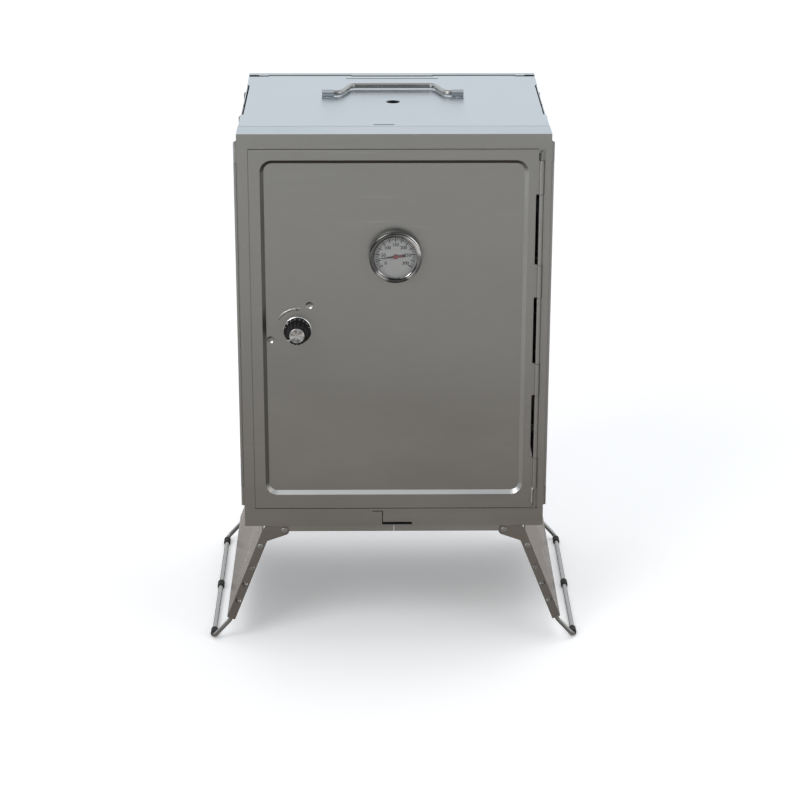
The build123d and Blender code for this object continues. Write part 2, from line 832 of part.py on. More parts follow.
save(wire_rack(rack_ys[1]), "upper_rack")
save(wire_rack(rack_ys[0]), "lower_rack")

with BuildPart() as drip_tray:
    with BuildSketch(front_plane(drip_back_y)):
        with Locations((0, stow_middle_z)):
            RectangleRounded(2 * rack_half_width, rack_length, drip_corner)
    extrude(amount=drip_rim)
    with BuildSketch(front_plane(drip_back_y - drip_sheet)):
        with Locations((0, stow_middle_z)):
            RectangleRounded(
                2 * (rack_half_width - drip_sheet), rack_length - 2 * drip_sheet, drip_corner - drip_sheet
            )
    extrude(amount=drip_rim, mode=Mode.SUBTRACT)
save(drip_tray.part, "drip_tray")

clip_front_y = rack_ys[1] - rack_wire - stow_gap - clip_sheet
clip_z = stow_floor + rack_length + stow_gap
with BuildPart() as stow_clips:
    for side in (-1, 1):
        with BuildSketch(Plane((side * clip_x - clip_width / 2, 0, 0), x_dir=(0, 1, 0), z_dir=(1, 0, 0))):
            with BuildLine():
                Polyline(
                    (back_y - sheet, clip_z),
                    (back_y - sheet, clip_z + clip_back),
                    (back_y - sheet - clip_sheet, clip_z + clip_back),
                    (back_y - sheet - clip_sheet, clip_z + clip_sheet),
                    (clip_front_y, clip_z + clip_sheet),
                    (clip_front_y, clip_z - clip_lip),
                    (clip_front_y + clip_sheet, clip_z - clip_lip),
                    (clip_front_y + clip_sheet, clip_z),
                    close=True,
                )
            make_face()
        extrude(amount=clip_width)
save(stow_clips.part, "stow_clips")

# ---------------------------------------------------------------- top plate
top_half = side_x - top_plate_inset
plate_front_y = front_y + front_top_flange + seam
plate_back_y = top_hinge_y - sheet_notch
plate_knuckles = top_knuckles(-1, top_plate_zones)
tab_x = top_half - tab_notch_depth - sheet / 2

with BuildPart() as top_plate:
    with BuildSketch(Plane.XY.offset(top_z)):
        with Locations((0, (plate_front_y + plate_back_y) / 2)):
            Rectangle(2 * top_half, plate_back_y - plate_front_y)
        with Locations((0, front_y + vent_y)):
            Circle(vent_radius, mode=Mode.SUBTRACT)
        with Locations((0, front_y + long_slot_y)):
            SlotOverall(long_slot_length, slot_width, mode=Mode.SUBTRACT)
        with Locations((short_slot_x, front_y + short_slot_y)):
            SlotOverall(short_slot_length, slot_width, mode=Mode.SUBTRACT)
        # the edges are set in from the front tab to the rear one
        with Locations([(side * top_half, front_y + sum(tab_places) / 2) for side in (-1, 1)]):
            Rectangle(
                2 * tab_notch_depth,
                tab_places[1] - tab_places[0] + tab_notch_length,
                mode=Mode.SUBTRACT,
            )
    extrude(amount=-sheet)
    # tabs bent down inside the walls, which keep them from folding while the plate is down
    with BuildSketch(Plane.XY.offset(top_z - sheet)):
        with Locations([(side * tab_x, front_y + place) for side in (-1, 1) for place in tab_places]):
            Rectangle(sheet, tab_length)
    extrude(amount=-tab_drop)
    add(plate_knuckles)
save(top_plate.part, "top_plate")

# ---------------------------------------------------------------- carry handle
lug_bore = handle_wire + shaft_clearance
lug_radius = lug_bore + lug_sheet
handle_z = top_z + lug_radius
lug_axis_y = front_y + handle_y
lug_foot_y = lug_axis_y - lug_foot / 2

with BuildPart() as handle_lugs:
    for side in (-1, 1):
        start_x = lug_inner if side > 0 else -lug_outer
        with BuildSketch(Plane((start_x, 0, 0), x_dir=(0, 1, 0), z_dir=(1, 0, 0))):
            with Locations((lug_axis_y, handle_z)):
                Circle(lug_radius)
            with Locations((lug_foot_y, top_z + lug_sheet / 2)):
                Rectangle(lug_foot, lug_sheet)
            with Locations((lug_axis_y, handle_z)):
                Circle(lug_bore, mode=Mode.SUBTRACT)
        extrude(amount=lug_outer - lug_inner)
save(handle_lugs.part, "handle_lugs")

with BuildPart() as lug_rivets:
    with BuildSketch(Plane.XY.offset(top_z + lug_sheet)):
        with Locations(
            [(side * (lug_inner + lug_outer) / 2, lug_axis_y - lug_foot + 3.2) for side in (-1, 1)]
        ):
            Circle(lug_rivet_radius)
    extrude(amount=lug_rivet_height, taper=25)
save(lug_rivets.part, "lug_rivets")

with BuildPart() as handle:
    with BuildLine() as bail:
        FilletPolyline(
            (-lug_outer + 1, lug_axis_y, handle_z),
            (-elbow_half, lug_axis_y, handle_z),
            (-grip_half, front_y + grip_y, handle_z),
            (grip_half, front_y + grip_y, handle_z),
            (elbow_half, lug_axis_y, handle_z),
            (lug_outer - 1, lug_axis_y, handle_z),
            radius=handle_bend,
        )
    with BuildSketch(Plane(bail.line @ 0, z_dir=bail.line % 0)):
        Circle(handle_wire)
    sweep(path=bail.line)
save(handle.part, "carry_handle")

# ---------------------------------------------------------------- stand base
base_front_y = front_y + base_inset
base_back_y = back_y - base_inset
pivot_z = body_z - leg_pivot_drop
pivot_bore = leg_pin_radius + pin_clearance

with BuildPart() as base_half:
    with BuildSketch(Plane.XY.offset(body_z)):
        with Locations(((base_seam + base_half_width) / 2, middle_y)):
            Rectangle(base_half_width - base_seam, base_back_y - base_front_y)
        with Locations((0, middle_y)):
            Circle(burner_opening, mode=Mode.SUBTRACT)
    extrude(amount=-sheet)
    for start_y in (base_front_y, base_back_y - sheet):
        with BuildSketch(front_plane(start_y)):
            with Locations(((base_seam + leg_pivot_x) / 2, body_z - sheet / 2 - base_flange / 2)):
                Rectangle(leg_pivot_x - base_seam, base_flange - sheet)
            with Locations((leg_pivot_x, pivot_z)):
                Circle(leg_ear_radius)
            with Locations((leg_pivot_x, body_z - leg_pivot_drop / 2)):
                Rectangle(2 * leg_ear_radius, leg_pivot_drop - 2 * sheet)
            with Locations((leg_pivot_x, pivot_z)):
                Circle(pivot_bore, mode=Mode.SUBTRACT)
        extrude(amount=-sheet)
save_pair(base_half.part, "base_plate")

with BuildPart() as burner_ring:
    with BuildSketch(Plane.XY.offset(body_z - sheet)):
        with Locations((0, middle_y)):
            Circle(burner_opening + ring_band)
            Circle(burner_opening - ring_band, mode=Mode.SUBTRACT)
    extrude(amount=-ring_sheet)
save(burner_ring.part, "burner_ring")

slot_length = flame_slot_outer - flame_slot_inner
with BuildPart() as flame_plate:
    with BuildSketch(Plane.XY.offset(body_z)):
        with Locations((0, middle_y)):
            Circle(burner_opening - plate_clearance)
            Circle(vent_radius, mode=Mode.SUBTRACT)
            with PolarLocations(flame_slot_inner + slot_length / 2, flame_slots):
                SlotOverall(slot_length, flame_slot_width, mode=Mode.SUBTRACT)
    extrude(amount=-sheet)
save(flame_plate.part, "flame_plate")

# ---------------------------------------------------------------- legs
leg_length = hypot(leg_end[0] - leg_elbow[0], leg_end[1] - leg_elbow[1])
along = ((leg_end[0] - leg_elbow[0]) / leg_length, (leg_end[1] - leg_elbow[1]) / leg_length)
inward = (along[1], -along[0])


def on_leg(distance, depth):
    """A point of the leg's section: so far along it from the elbow, and so deep inside its skin."""
    return (
        leg_elbow[0] + along[0] * distance + inward[0] * depth,
        body_z + leg_elbow[1] + along[1] * distance + inward[1] * depth,
    )


leg_front_y = front_y + leg_inset
leg_back_y = back_y - leg_inset
holes = [
    on_leg(leg_hole_first + index * leg_hole_pitch, leg_flange / 2) for index in range(leg_hole_count)
]
rivet_place = on_leg(leg_rivet_place, leg_flange / 2)
leg_crown_point = (leg_crown[0], body_z + leg_crown[1])

with BuildPart() as leg:
    for start_y in (leg_front_y, leg_back_y - leg_sheet):
        with BuildSketch(front_plane(start_y)):
            with BuildLine():
                Polyline(
                    (leg_pivot_x, pivot_z + leg_ear_radius - flush_gap),
                    leg_crown_point,
                    on_leg(0, 0),
                    on_leg(leg_length, 0),
                    on_leg(leg_length, leg_flange),
                    on_leg(leg_flange, leg_flange),
                    (leg_pivot_x, pivot_z - leg_ear_radius),
                    close=True,
                )
            make_face()
            with Locations((leg_pivot_x, pivot_z)):
                Circle(leg_ear_radius - flush_gap)
                Circle(pivot_bore, mode=Mode.SUBTRACT)
            with Locations(holes):
                Circle(foot_wire + hole_clearance, mode=Mode.SUBTRACT)
        extrude(amount=-leg_sheet)
    with BuildSketch(front_plane(leg_front_y)):
        with BuildLine():
            Polyline(
                on_leg(0, 0),
                on_leg(leg_length, 0),
                on_leg(leg_length, leg_sheet),
                on_leg(0, leg_sheet),
                close=True,
            )
        make_face()
    extrude(amount=-(leg_back_y - leg_front_y))
save_pair(leg.part, "leg")

with BuildPart() as leg_pins:
    for side in (-1, 1):
        for outside_y, inside in ((leg_front_y, 1), (leg_back_y, -1)):
            head_y = outside_y - inside * flush_gap
            tail_y = outside_y + inside * (base_inset - leg_inset + sheet)
            for start_y, radius, length in (
                (head_y - inside * 1.4, leg_pin_head, 1.4),
                (head_y, leg_pin_radius, abs(tail_y - head_y)),
                (tail_y, leg_pin_head, 1.2),
            ):
                plane = Plane((side * leg_pivot_x, start_y, pivot_z), z_dir=(0, inside, 0))
                with BuildSketch(plane):
                    Circle(radius)
                extrude(amount=length)
save(leg_pins.part, "leg_pins")

with BuildPart() as leg_rivets:
    for outside_y, outwards in ((leg_front_y, -1), (leg_back_y, 1)):
        plane = Plane((rivet_place[0], outside_y, rivet_place[1]), z_dir=(0, outwards, 0))
        with BuildSketch(plane):
            Circle(leg_rivet_radius)
        extrude(amount=1.2, taper=20)
save_pair(leg_rivets.part, "leg_rivets")

# wire foot: hooked into the leg's flanges, down inside them and along the ground
foot_z = foot_tip_radius - foot_tip_flat
wire_y = leg_front_y + leg_sheet + foot_wire + stow_gap
hook_x, hook_z = holes[0]
knee_x, knee_z = on_leg(leg_length + foot_run_out, leg_flange / 2)
hook_tip_y = leg_front_y - leg_inset / 2
mirror_y = front_y + back_y
half_route = [
    (hook_x, hook_tip_y, hook_z),
    (hook_x, wire_y, hook_z),
    (knee_x, wire_y, knee_z),
    (foot_x, wire_y, foot_z),
]
other_half = [(x, mirror_y - y, z) for x, y, z in reversed(half_route)]
with BuildPart() as foot:
    with BuildLine() as route:
        FilletPolyline(
            *half_route,
            *other_half,
            radius=[
                foot_hook_bend,
                foot_knee_bend,
                foot_bend,
                foot_bend,
                foot_knee_bend,
                foot_hook_bend,
            ],
        )
    with BuildSketch(Plane(route.line @ 0, z_dir=route.line % 0)):
        Circle(foot_wire)
    sweep(path=route.line)
save_pair(foot.part, "foot_wire")

tip_start = wire_y + foot_bend + stow_gap
tip_places = (
    tip_start,
    middle_y - foot_tip_length / 2,
    mirror_y - tip_start - foot_tip_length,
)
with BuildPart() as foot_tips:
    for start_y in tip_places:
        with BuildSketch(Plane((foot_x, start_y, foot_z), x_dir=(-1, 0, 0), z_dir=(0, 1, 0))):
            Circle(foot_tip_radius)
            with Locations((0, -foot_z - foot_tip_radius)):
                Rectangle(4 * foot_tip_radius, 2 * foot_tip_radius, mode=Mode.SUBTRACT)
            Circle(foot_wire, mode=Mode.SUBTRACT)
        extrude(amount=foot_tip_length)
save_pair(foot_tips.part, "foot_tips")
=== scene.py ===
# %% [markdown]
# # A folding camp oven in sheet steel
#
# The oven is a box of satin stainless sheet that folds flat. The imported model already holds
# every panel, hinge and leg at its real size, so this lesson only dresses it. It gives each
# panel its brushed finish, and it remakes in smooth form the small round things that catch
# the light: the thermometer's rim, the knob, the carry handle and the wire feet.

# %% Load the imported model
import math

import bmesh
import bpy
from mathutils import Matrix, Vector
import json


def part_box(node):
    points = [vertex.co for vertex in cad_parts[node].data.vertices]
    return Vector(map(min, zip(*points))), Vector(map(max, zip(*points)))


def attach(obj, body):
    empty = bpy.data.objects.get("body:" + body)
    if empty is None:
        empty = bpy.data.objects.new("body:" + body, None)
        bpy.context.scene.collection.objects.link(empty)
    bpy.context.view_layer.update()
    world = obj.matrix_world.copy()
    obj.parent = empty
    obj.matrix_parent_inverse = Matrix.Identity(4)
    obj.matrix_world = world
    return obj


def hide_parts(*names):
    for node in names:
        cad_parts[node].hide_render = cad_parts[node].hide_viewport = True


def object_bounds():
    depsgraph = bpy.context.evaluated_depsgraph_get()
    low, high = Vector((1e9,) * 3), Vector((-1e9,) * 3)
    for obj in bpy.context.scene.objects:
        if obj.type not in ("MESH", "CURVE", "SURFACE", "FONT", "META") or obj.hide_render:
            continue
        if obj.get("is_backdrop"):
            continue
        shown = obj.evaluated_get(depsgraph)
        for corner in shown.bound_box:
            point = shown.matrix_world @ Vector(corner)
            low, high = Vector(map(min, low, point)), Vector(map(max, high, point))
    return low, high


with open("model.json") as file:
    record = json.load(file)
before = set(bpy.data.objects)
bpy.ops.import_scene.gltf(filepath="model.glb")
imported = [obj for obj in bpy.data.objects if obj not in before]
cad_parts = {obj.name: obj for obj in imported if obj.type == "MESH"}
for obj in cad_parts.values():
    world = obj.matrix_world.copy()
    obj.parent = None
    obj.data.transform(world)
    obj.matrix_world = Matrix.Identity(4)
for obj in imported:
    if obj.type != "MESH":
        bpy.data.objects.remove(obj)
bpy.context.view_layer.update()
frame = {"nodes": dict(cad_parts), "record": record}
nodes = frame["nodes"]

# %% [markdown]
# ## The camera
#
# The six outer corners of the body give the place of the camera: it stands about two and a
# half metres in front of the oven, a little to the left, and looks down by some 20 degrees.
# A long lens keeps the front face almost square. The turn is written as three directions,
# forward, right and up, because they can be read off the fit without any guessing.

# %% Camera
YAW, PITCH, ROLL = math.radians(0.714), math.radians(20.65), math.radians(0.10)
CAMERA_PLACE = Vector((-0.0226, -2.472, 1.172))
FOCAL_PIXELS, PICTURE_PIXELS, SENSOR = 2295.3, 800, 36.0

level_way = Vector((math.sin(YAW), math.cos(YAW), 0))
forward = level_way * math.cos(PITCH) - Vector((0, 0, math.sin(PITCH)))
level_right = Vector((math.cos(YAW), -math.sin(YAW), 0))
level_up = level_right.cross(forward)
right = level_right * math.cos(ROLL) + level_up * math.sin(ROLL)
up = level_up * math.cos(ROLL) - level_right * math.sin(ROLL)

camera_data = bpy.data.cameras.new("camera")
camera_data.sensor_width = SENSOR
camera_data.lens = FOCAL_PIXELS * SENSOR / PICTURE_PIXELS
camera = bpy.data.objects.new("camera", camera_data)
bpy.context.scene.collection.objects.link(camera)
camera_turn = Matrix((right, up, -forward)).transposed().to_4x4()
camera.matrix_world = Matrix.Translation(CAMERA_PLACE) @ camera_turn
bpy.context.scene.camera = camera
print("lens:", round(camera_data.lens, 1), "mm")

# %% [markdown]
# ## Small tools for shader nodes
#
# Skies, floors and finishes are all trees of nodes. An input of a node is either a plain value
# or a link from another node's output, and one helper sets both kinds. The rest are the steps
# that come back in every tree: a sum, a direction, a change of range and a blend.

# %% Shader helpers
def set_inputs(tree, node, inputs):
    """Sets inputs of a node to plain values or to other nodes' outputs."""
    for socket, value in inputs.items():
        if isinstance(value, bpy.types.NodeSocket):
            tree.links.new(value, node.inputs[socket])
        else:
            node.inputs[socket].default_value = value
    return node


def add_node(tree, kind, inputs=None, **settings):
    """A new node of a kind, with its inputs and its other settings."""
    node = tree.nodes.new("ShaderNode" + kind)
    for key, value in settings.items():
        setattr(node, key, value)
    return set_inputs(tree, node, inputs or {})


def maths(tree, operation, *values):
    """One operation on numbers."""
    return add_node(tree, "Math", dict(enumerate(values)), operation=operation).outputs[0]


def vector_maths(tree, operation, *values):
    """One operation on vectors, with its result as a vector and as a number."""
    node = add_node(tree, "VectorMath", dict(enumerate(values)), operation=operation)
    return node.outputs[0], node.outputs[1]


def squeeze(tree, value, low, high, from_low=0.3, from_high=0.7, shape="LINEAR"):
    """The value, mapped from one range to another."""
    return add_node(tree, "MapRange", {
        "Value": value, "From Min": from_low, "From Max": from_high, "To Min": low, "To Max": high,
    }, interpolation_type=shape).outputs["Result"]


def blend_colours(tree, factor, first, second):
    """A colour between two others."""
    mix = add_node(tree, "Mix", {"Factor": factor}, data_type="RGBA")
    for name, colour in (("A", first), ("B", second)):
        socket = next(s for s in mix.inputs if s.name == name and s.type == "RGBA")
        if isinstance(colour, tuple):
            socket.default_value = (*colour, 1)
        else:
            tree.links.new(colour, socket)
    return next(s for s in mix.outputs if s.type == "RGBA")


def new_finish(name, colour, metallic, roughness):
    """A material with its plain values set on the Principled shader."""
    finish = bpy.data.materials.new(name)
    finish.use_nodes = True
    tree = finish.node_tree
    shader = set_inputs(tree, tree.nodes["Principled BSDF"], {
        "Base Color": (*colour, 1), "Metallic": metallic, "Roughness": roughness,
    })
    return finish, tree, shader


print("shader helpers ready")

# %% [markdown]
# ## The studio
#
# Brushed steel has hardly any colour of its own. It shows a blurred picture of the room, so
# the room is part of the finish. Here it is a pale world with a large soft lamp to the upper
# left, a weaker one to the right and a broad one overhead. Light Path nodes keep three things
# apart: the white that the camera sees, the light that the world gives, and the room that
# polished parts mirror. That room is bright above and behind, and dim towards the viewer,
# which, with the painted reflections on the rim, draws dark crescents on the chrome.

# %% World
scene = bpy.context.scene
scene.view_settings.view_transform = "Standard"
world = bpy.data.worlds.new("studio")
scene.world = world
world.use_nodes = True
sky = world.node_tree
sky.nodes.clear()

ROOM_TILT = (0.0, 0.85, 1.0)    # the mirrored room grows brighter upwards and to the back
ROOM_DIM, ROOM_BRIGHT = 0.12, 1.0
ROOM_ZENITH = 0.55              # share of that brightness left straight overhead
sky_way = add_node(sky, "TexCoord").outputs["Generated"]
tilt = vector_maths(sky, "DOT_PRODUCT", sky_way, ROOM_TILT)[1]
height = vector_maths(sky, "DOT_PRODUCT", sky_way, (0, 0, 1))[1]
room_light = squeeze(sky, tilt, ROOM_DIM, ROOM_BRIGHT, -0.30, 0.60)
room_top = squeeze(sky, height, 1.0, ROOM_ZENITH, 0.60, 0.97)
room = maths(sky, "MULTIPLY", room_light, room_top)

light, seen, mirrored = (
    add_node(sky, "Background", {"Color": colour, "Strength": strength}).outputs[0]
    for colour, strength in (
        ((0.93, 0.96, 1.0, 1), 0.55), ((0.97, 0.98, 1.0, 1), 1.0), ((0.93, 0.97, 1.0, 1), room),
    )
)
ray = add_node(sky, "LightPath").outputs
light_or_mirror = add_node(sky, "MixShader", {0: ray["Is Glossy Ray"], 1: light, 2: mirrored})
seen_or_through = maths(sky, "MAXIMUM", ray["Is Camera Ray"], ray["Is Transmission Ray"])
whole_sky = add_node(sky, "MixShader", {0: seen_or_through, 1: light_or_mirror.outputs[0], 2: seen})
add_node(sky, "OutputWorld", {"Surface": whole_sky.outputs[0]})
print("world ready: light, view and mirrored room")

# %% [markdown]
# The floor does the same. The camera sees it almost white. The steel sees a warm dim patch
# round the oven, which runs out to a pale floor further off: the lower half of the front
# mirrors the patch and the upper half mirrors the pale part.

# %% Floor
FLOOR_SEEN, FLOOR_FAR, NEAR_TONE = (0.94, 0.94, 0.94), (0.95, 0.95, 0.94), (0.335, 0.30, 0.275)
NEAR_EDGE, FAR_EDGE = 0.45, 2.45            # metres from the oven, where the dim patch fades out
FLOOR_GLOW, FLOOR_GLOW_FAR = 0.20, 0.46     # lift of what the camera sees, near and far
GLOW_NEAR, GLOW_FAR = 0.8, 3.5
FLOOR_HALF = 9.0

floor_mesh = bpy.data.meshes.new("floor")
floor_bm = bmesh.new()
bmesh.ops.create_grid(floor_bm, x_segments=1, y_segments=1, size=FLOOR_HALF)
floor_bm.to_mesh(floor_mesh)
floor_bm.free()
floor = bpy.data.objects.new("floor", floor_mesh)
scene.collection.objects.link(floor)

floor_paint, tree, floor_shader = new_finish("studio_floor", FLOOR_FAR, 0.0, 0.9)
reach = vector_maths(tree, "LENGTH", add_node(tree, "TexCoord").outputs["Object"])[1]
seen = add_node(tree, "LightPath").outputs["Is Camera Ray"]
patch = squeeze(tree, reach, 0.0, 1.0, NEAR_EDGE, FAR_EDGE, "SMOOTHSTEP")
lift = squeeze(tree, reach, FLOOR_GLOW, FLOOR_GLOW_FAR, GLOW_NEAR, GLOW_FAR, "SMOOTHSTEP")
room = blend_colours(tree, patch, NEAR_TONE, FLOOR_FAR)
set_inputs(tree, floor_shader, {
    "Base Color": blend_colours(tree, seen, room, FLOOR_SEEN),
    "Emission Color": (0.97, 0.985, 1.0, 1),
    "Emission Strength": maths(tree, "MULTIPLY", lift, seen),
})
floor_mesh.materials.append(floor_paint)
floor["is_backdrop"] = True
print("floor ready,", 2 * FLOOR_HALF, "m across")

# %% [markdown]
# Three soft lamps do the rest. The key stands to the upper left, where the bright side of the
# front is, the fill keeps the right side from going dull, and the overhead lamp lays a shadow
# under the oven. Polished and brushed steel don't mirror that last one.

# %% Lamps
def soft_lamp(name, place, target, size, power, colour=(1, 1, 1)):
    """A square area lamp that faces a point."""
    data = bpy.data.lights.new(name, "AREA")
    data.shape = "SQUARE"
    data.size = size
    data.energy = power
    data.color = colour
    lamp = bpy.data.objects.new(name, data)
    scene.collection.objects.link(lamp)
    aim = (Vector(target) - Vector(place)).to_track_quat("-Z", "Y")
    lamp.matrix_world = Matrix.Translation(place) @ aim.to_matrix().to_4x4()
    return lamp


soft_lamp("key", (-1.8, -2.2, 2.6), (0, 0, 0.35), 1.8, 46)
soft_lamp("fill", (2.4, -1.6, 1.5), (0, 0, 0.3), 1.8, 14)
overhead = soft_lamp("overhead", (0.3, 0.6, 2.8), (0, 0, 0.4), 2.0, 24)
overhead.visible_glossy = False     # the lid would mirror it as a white patch
print("studio ready")


# %% [markdown]
# ## Small tools for finishes
#
# Every finish here starts in the same way: read the object's own coordinates, stretch them so
# that the grain runs one way, feed a noise, and squeeze the result into a narrow range of
# roughness or colour. Values that are the same all over are set on the shader itself.

# %% Finish helpers
def place_on_object(tree, scale=(1, 1, 1), centre=(0, 0, 0)):
    """Object coordinates, moved to a centre and stretched."""
    place = add_node(tree, "TexCoord").outputs["Object"]
    moved = vector_maths(tree, "SUBTRACT", place, centre)[0]
    return vector_maths(tree, "MULTIPLY", moved, scale)[0]


def noise(tree, where, detail, roughness=0.6):
    """A noise between 0 and 1 at those coordinates."""
    return add_node(tree, "TexNoise", {
        "Vector": where, "Scale": 1.0, "Detail": detail, "Roughness": roughness,
    }).outputs["Fac"]


def speckle(tree, fineness, detail):
    """A noise that is the same in all directions, finer where the number is higher."""
    return noise(tree, place_on_object(tree, (fineness,) * 3), detail)


def relief(tree, shader, height, strength, distance):
    """Small relief from a height value."""
    bump = add_node(tree, "Bump", {"Height": height, "Strength": strength, "Distance": distance})
    set_inputs(tree, shader, {"Normal": bump.outputs["Normal"]})


print("finish helpers ready")

# %% [markdown]
# ## Pressed relief
#
# The walls of a pressed panel are steep and narrow. They mirror the darkest and the brightest
# part of a room, and here that light is painted into their colour: the walls that turn from
# the light get a painted shade and those that face it a painted highlight. The normal of the
# piece itself tells which is which, at every pose.

# %% Pressed relief
PAINTED_LIGHT_SIDE = (-0.6, 0.0, 0.8)    # the bright side of the room, from the upper left
FLAT_SIDE = (0.96, 0.99)        # a face that looks this squarely sideways is a flange, not a slope


def facing(tree, way):
    """1 on faces of the object that look squarely one way, 0 at right angles to it."""
    return vector_maths(tree, "DOT_PRODUCT", add_node(tree, "TexCoord").outputs["Normal"], way)[1]


def paint_slope_light(tree, tone, dark, bright):
    """Steep walls: painted shade where they turn from the light, painted highlight where they face
    it.
    """
    lean = facing(tree, PAINTED_LIGHT_SIDE)
    sideways = maths(tree, "ABSOLUTE", facing(tree, (1, 0, 0)))
    no_flange = squeeze(tree, sideways, 1.0, 0.0, *FLAT_SIDE)
    for colour, start, end in ((dark, -0.15, -0.50), (bright, 0.15, 0.50)):
        share = maths(tree, "MULTIPLY", squeeze(tree, lean, 0.0, 1.0, start, end), no_flange)
        tone = blend_colours(tree, share, tone, colour)
    return tone


print("walls of the relief brighten towards", PAINTED_LIGHT_SIDE)

# %% [markdown]
# ## Brushed sheet
#
# The sheets come from the mill with a fine satin grain that all runs one way. A noise that
# is stretched a hundred times along the grain gives the hairlines. A slower one, hardly
# stretched, gives the cloudy handling marks that a satin sheet always has. A third, thin and
# slanted, gives a few stray scratches. The hairlines go to the colour, the roughness and a
# very small bump, the clouds to the colour and the roughness.

# %% Brushed steel
ALONG, ACROSS = 14.0, 1500.0    # hairlines to the metre
SCRATCH_DEPTH = 0.10            # how much smoother a stray scratch is


def brushed_steel(
    name, colour, roughness, grain, clouds=0.10, hairline=0.07, flange=None, painted_slopes=None
):
    """Satin sheet whose grain runs along one axis of the object: grain is "x", "y" or "z".

    A flange is a direction and a colour of painted light for the faces that look that way: a
    painted reflection of the sky on faces that look up, a painted shade on faces that look at
    the viewer. Two slope colours, a painted shade and a painted highlight, go on pressed relief.
    """
    finish, tree, shader = new_finish(name, colour, 1.0, roughness)
    scale = tuple(ALONG if axis == grain else ACROSS for axis in "xyz")
    lines = noise(tree, place_on_object(tree, scale), 3.0)
    cloud_scale = tuple(5 if axis == grain else 9 for axis in "xyz")
    cloud = noise(tree, place_on_object(tree, cloud_scale), 5.0, 0.55)
    slant = add_node(tree, "Mapping", {
        "Vector": place_on_object(tree), "Rotation": (0.4, 0.7, 0.5), "Scale": (6, 420, 420),
    }).outputs[0]
    stray = squeeze(tree, noise(tree, slant, 1.0), 0.0, 1.0, 0.70, 0.80)

    darker = tuple(c * (1 - clouds) for c in colour)
    lighter = tuple(min(1.0, c * (1 + clouds)) for c in colour)
    hair_tone = tuple(min(1.0, c * 1.35) for c in colour)
    tone = blend_colours(tree, squeeze(tree, cloud, 0.0, 1.0), darker, lighter)
    tone = blend_colours(tree, squeeze(tree, lines, 0.0, 0.22), tone, hair_tone)
    # painted shade and painted highlight on the walls of pressed relief
    if painted_slopes:
        tone = paint_slope_light(tree, tone, *painted_slopes)
    # painted light by facing: a sky reflection on faces that look up, a shade on faces towards the
    # viewer
    if flange:
        way, painted_flange_light = flange
        share = squeeze(tree, facing(tree, way), 0.0, 1.0, 0.80, 0.95)
        tone = blend_colours(tree, share, tone, painted_flange_light)

    clouded = squeeze(tree, cloud, roughness - 0.05, roughness + 0.06)
    total = maths(tree, "ADD", squeeze(tree, lines, -hairline, hairline), clouded)
    scratched = maths(tree, "SUBTRACT", total, maths(tree, "MULTIPLY", stray, SCRATCH_DEPTH))
    set_inputs(tree, shader, {"Base Color": tone, "Roughness": scratched})
    relief(tree, shader, lines, 0.12, 0.00006)
    return finish


FRONT_TONE = (0.355, 0.35, 0.332)
# painted reflection of the sky: lighter and bluer than the same sheet on the front
SKY_LIT_TONE = (0.567, 0.61, 0.645)
# a painted shade and a painted highlight for the walls of pressed relief
PAINTED_SLOPE_LIGHT = ((0.13, 0.125, 0.11), (0.60, 0.60, 0.59))
# painted sky reflection on faces that look up; painted shade on the leg's faces towards the viewer
PAINTED_SKY_ON_TOPS = ((0, 0, 1), SKY_LIT_TONE)
PAINTED_SHADE_ON_FRONTS = ((0, -1, 0), (0.34, 0.325, 0.305))
steel_front = brushed_steel(
    "satin_steel_front", FRONT_TONE, 0.38, "x", flange=PAINTED_SKY_ON_TOPS, painted_slopes=PAINTED_SLOPE_LIGHT
)
# the lid's colour is the painted sky tone
steel_lid = brushed_steel("satin_steel_lid", SKY_LIT_TONE, 0.36, "x", clouds=0.05)
steel_side = brushed_steel("satin_steel_side", (0.36, 0.355, 0.34), 0.40, "z", flange=PAINTED_SKY_ON_TOPS)
steel_inside = brushed_steel("satin_steel_inside", (0.36, 0.355, 0.345), 0.34, "x", clouds=0.14)
steel_leg = brushed_steel(
    "bright_steel_leg", (0.80, 0.79, 0.77), 0.22, "y",
    clouds=0.14, hairline=0.04, flange=PAINTED_SHADE_ON_FRONTS,
)
steel_base = brushed_steel("satin_steel_base", (0.42, 0.41, 0.39), 0.36, "x", clouds=0.14)
print("brushed finishes ready")


# %% [markdown]
# ## Wire, pins and polished trim
#
# Drawn wire is smoother than sheet and shows only faint marks from the die and from handling.
# The smudges on polished trim are fainter still. They break up reflections that would
# otherwise look too perfect.

# %% Wire and polish
def drawn_steel(name, colour, roughness):
    """Smooth wire with faint marks from the die and from handling."""
    finish, tree, shader = new_finish(name, colour, 1.0, roughness)
    marks = speckle(tree, 45, 3.0)
    duller = tuple(c * 0.92 for c in colour)
    set_inputs(tree, shader, {
        "Base Color": blend_colours(tree, squeeze(tree, marks, 0.0, 1.0), duller, colour),
        "Roughness": squeeze(tree, marks, roughness - 0.04, roughness + 0.06),
    })
    return finish


wire_steel = drawn_steel("drawn_wire", (0.43, 0.425, 0.415), 0.26)
rack_steel = drawn_steel("rack_wire", (0.48, 0.475, 0.46), 0.22)
pin_steel = drawn_steel("pin_steel", (0.42, 0.415, 0.40), 0.34)
bright_chrome = drawn_steel("polished_rim", (0.66, 0.66, 0.65), 0.09)
print("wire and polish ready")


# %% [markdown]
# ## Rubber, plastic, glass and paint
#
# The rest are small areas. The knob is black moulded plastic with a fine spark-eroded skin.
# The feet wear rubber sleeves, dull and dusty in the hollows. The dial is a pale silver
# paint with the faintest grain, and the glass over it has no colour at all.

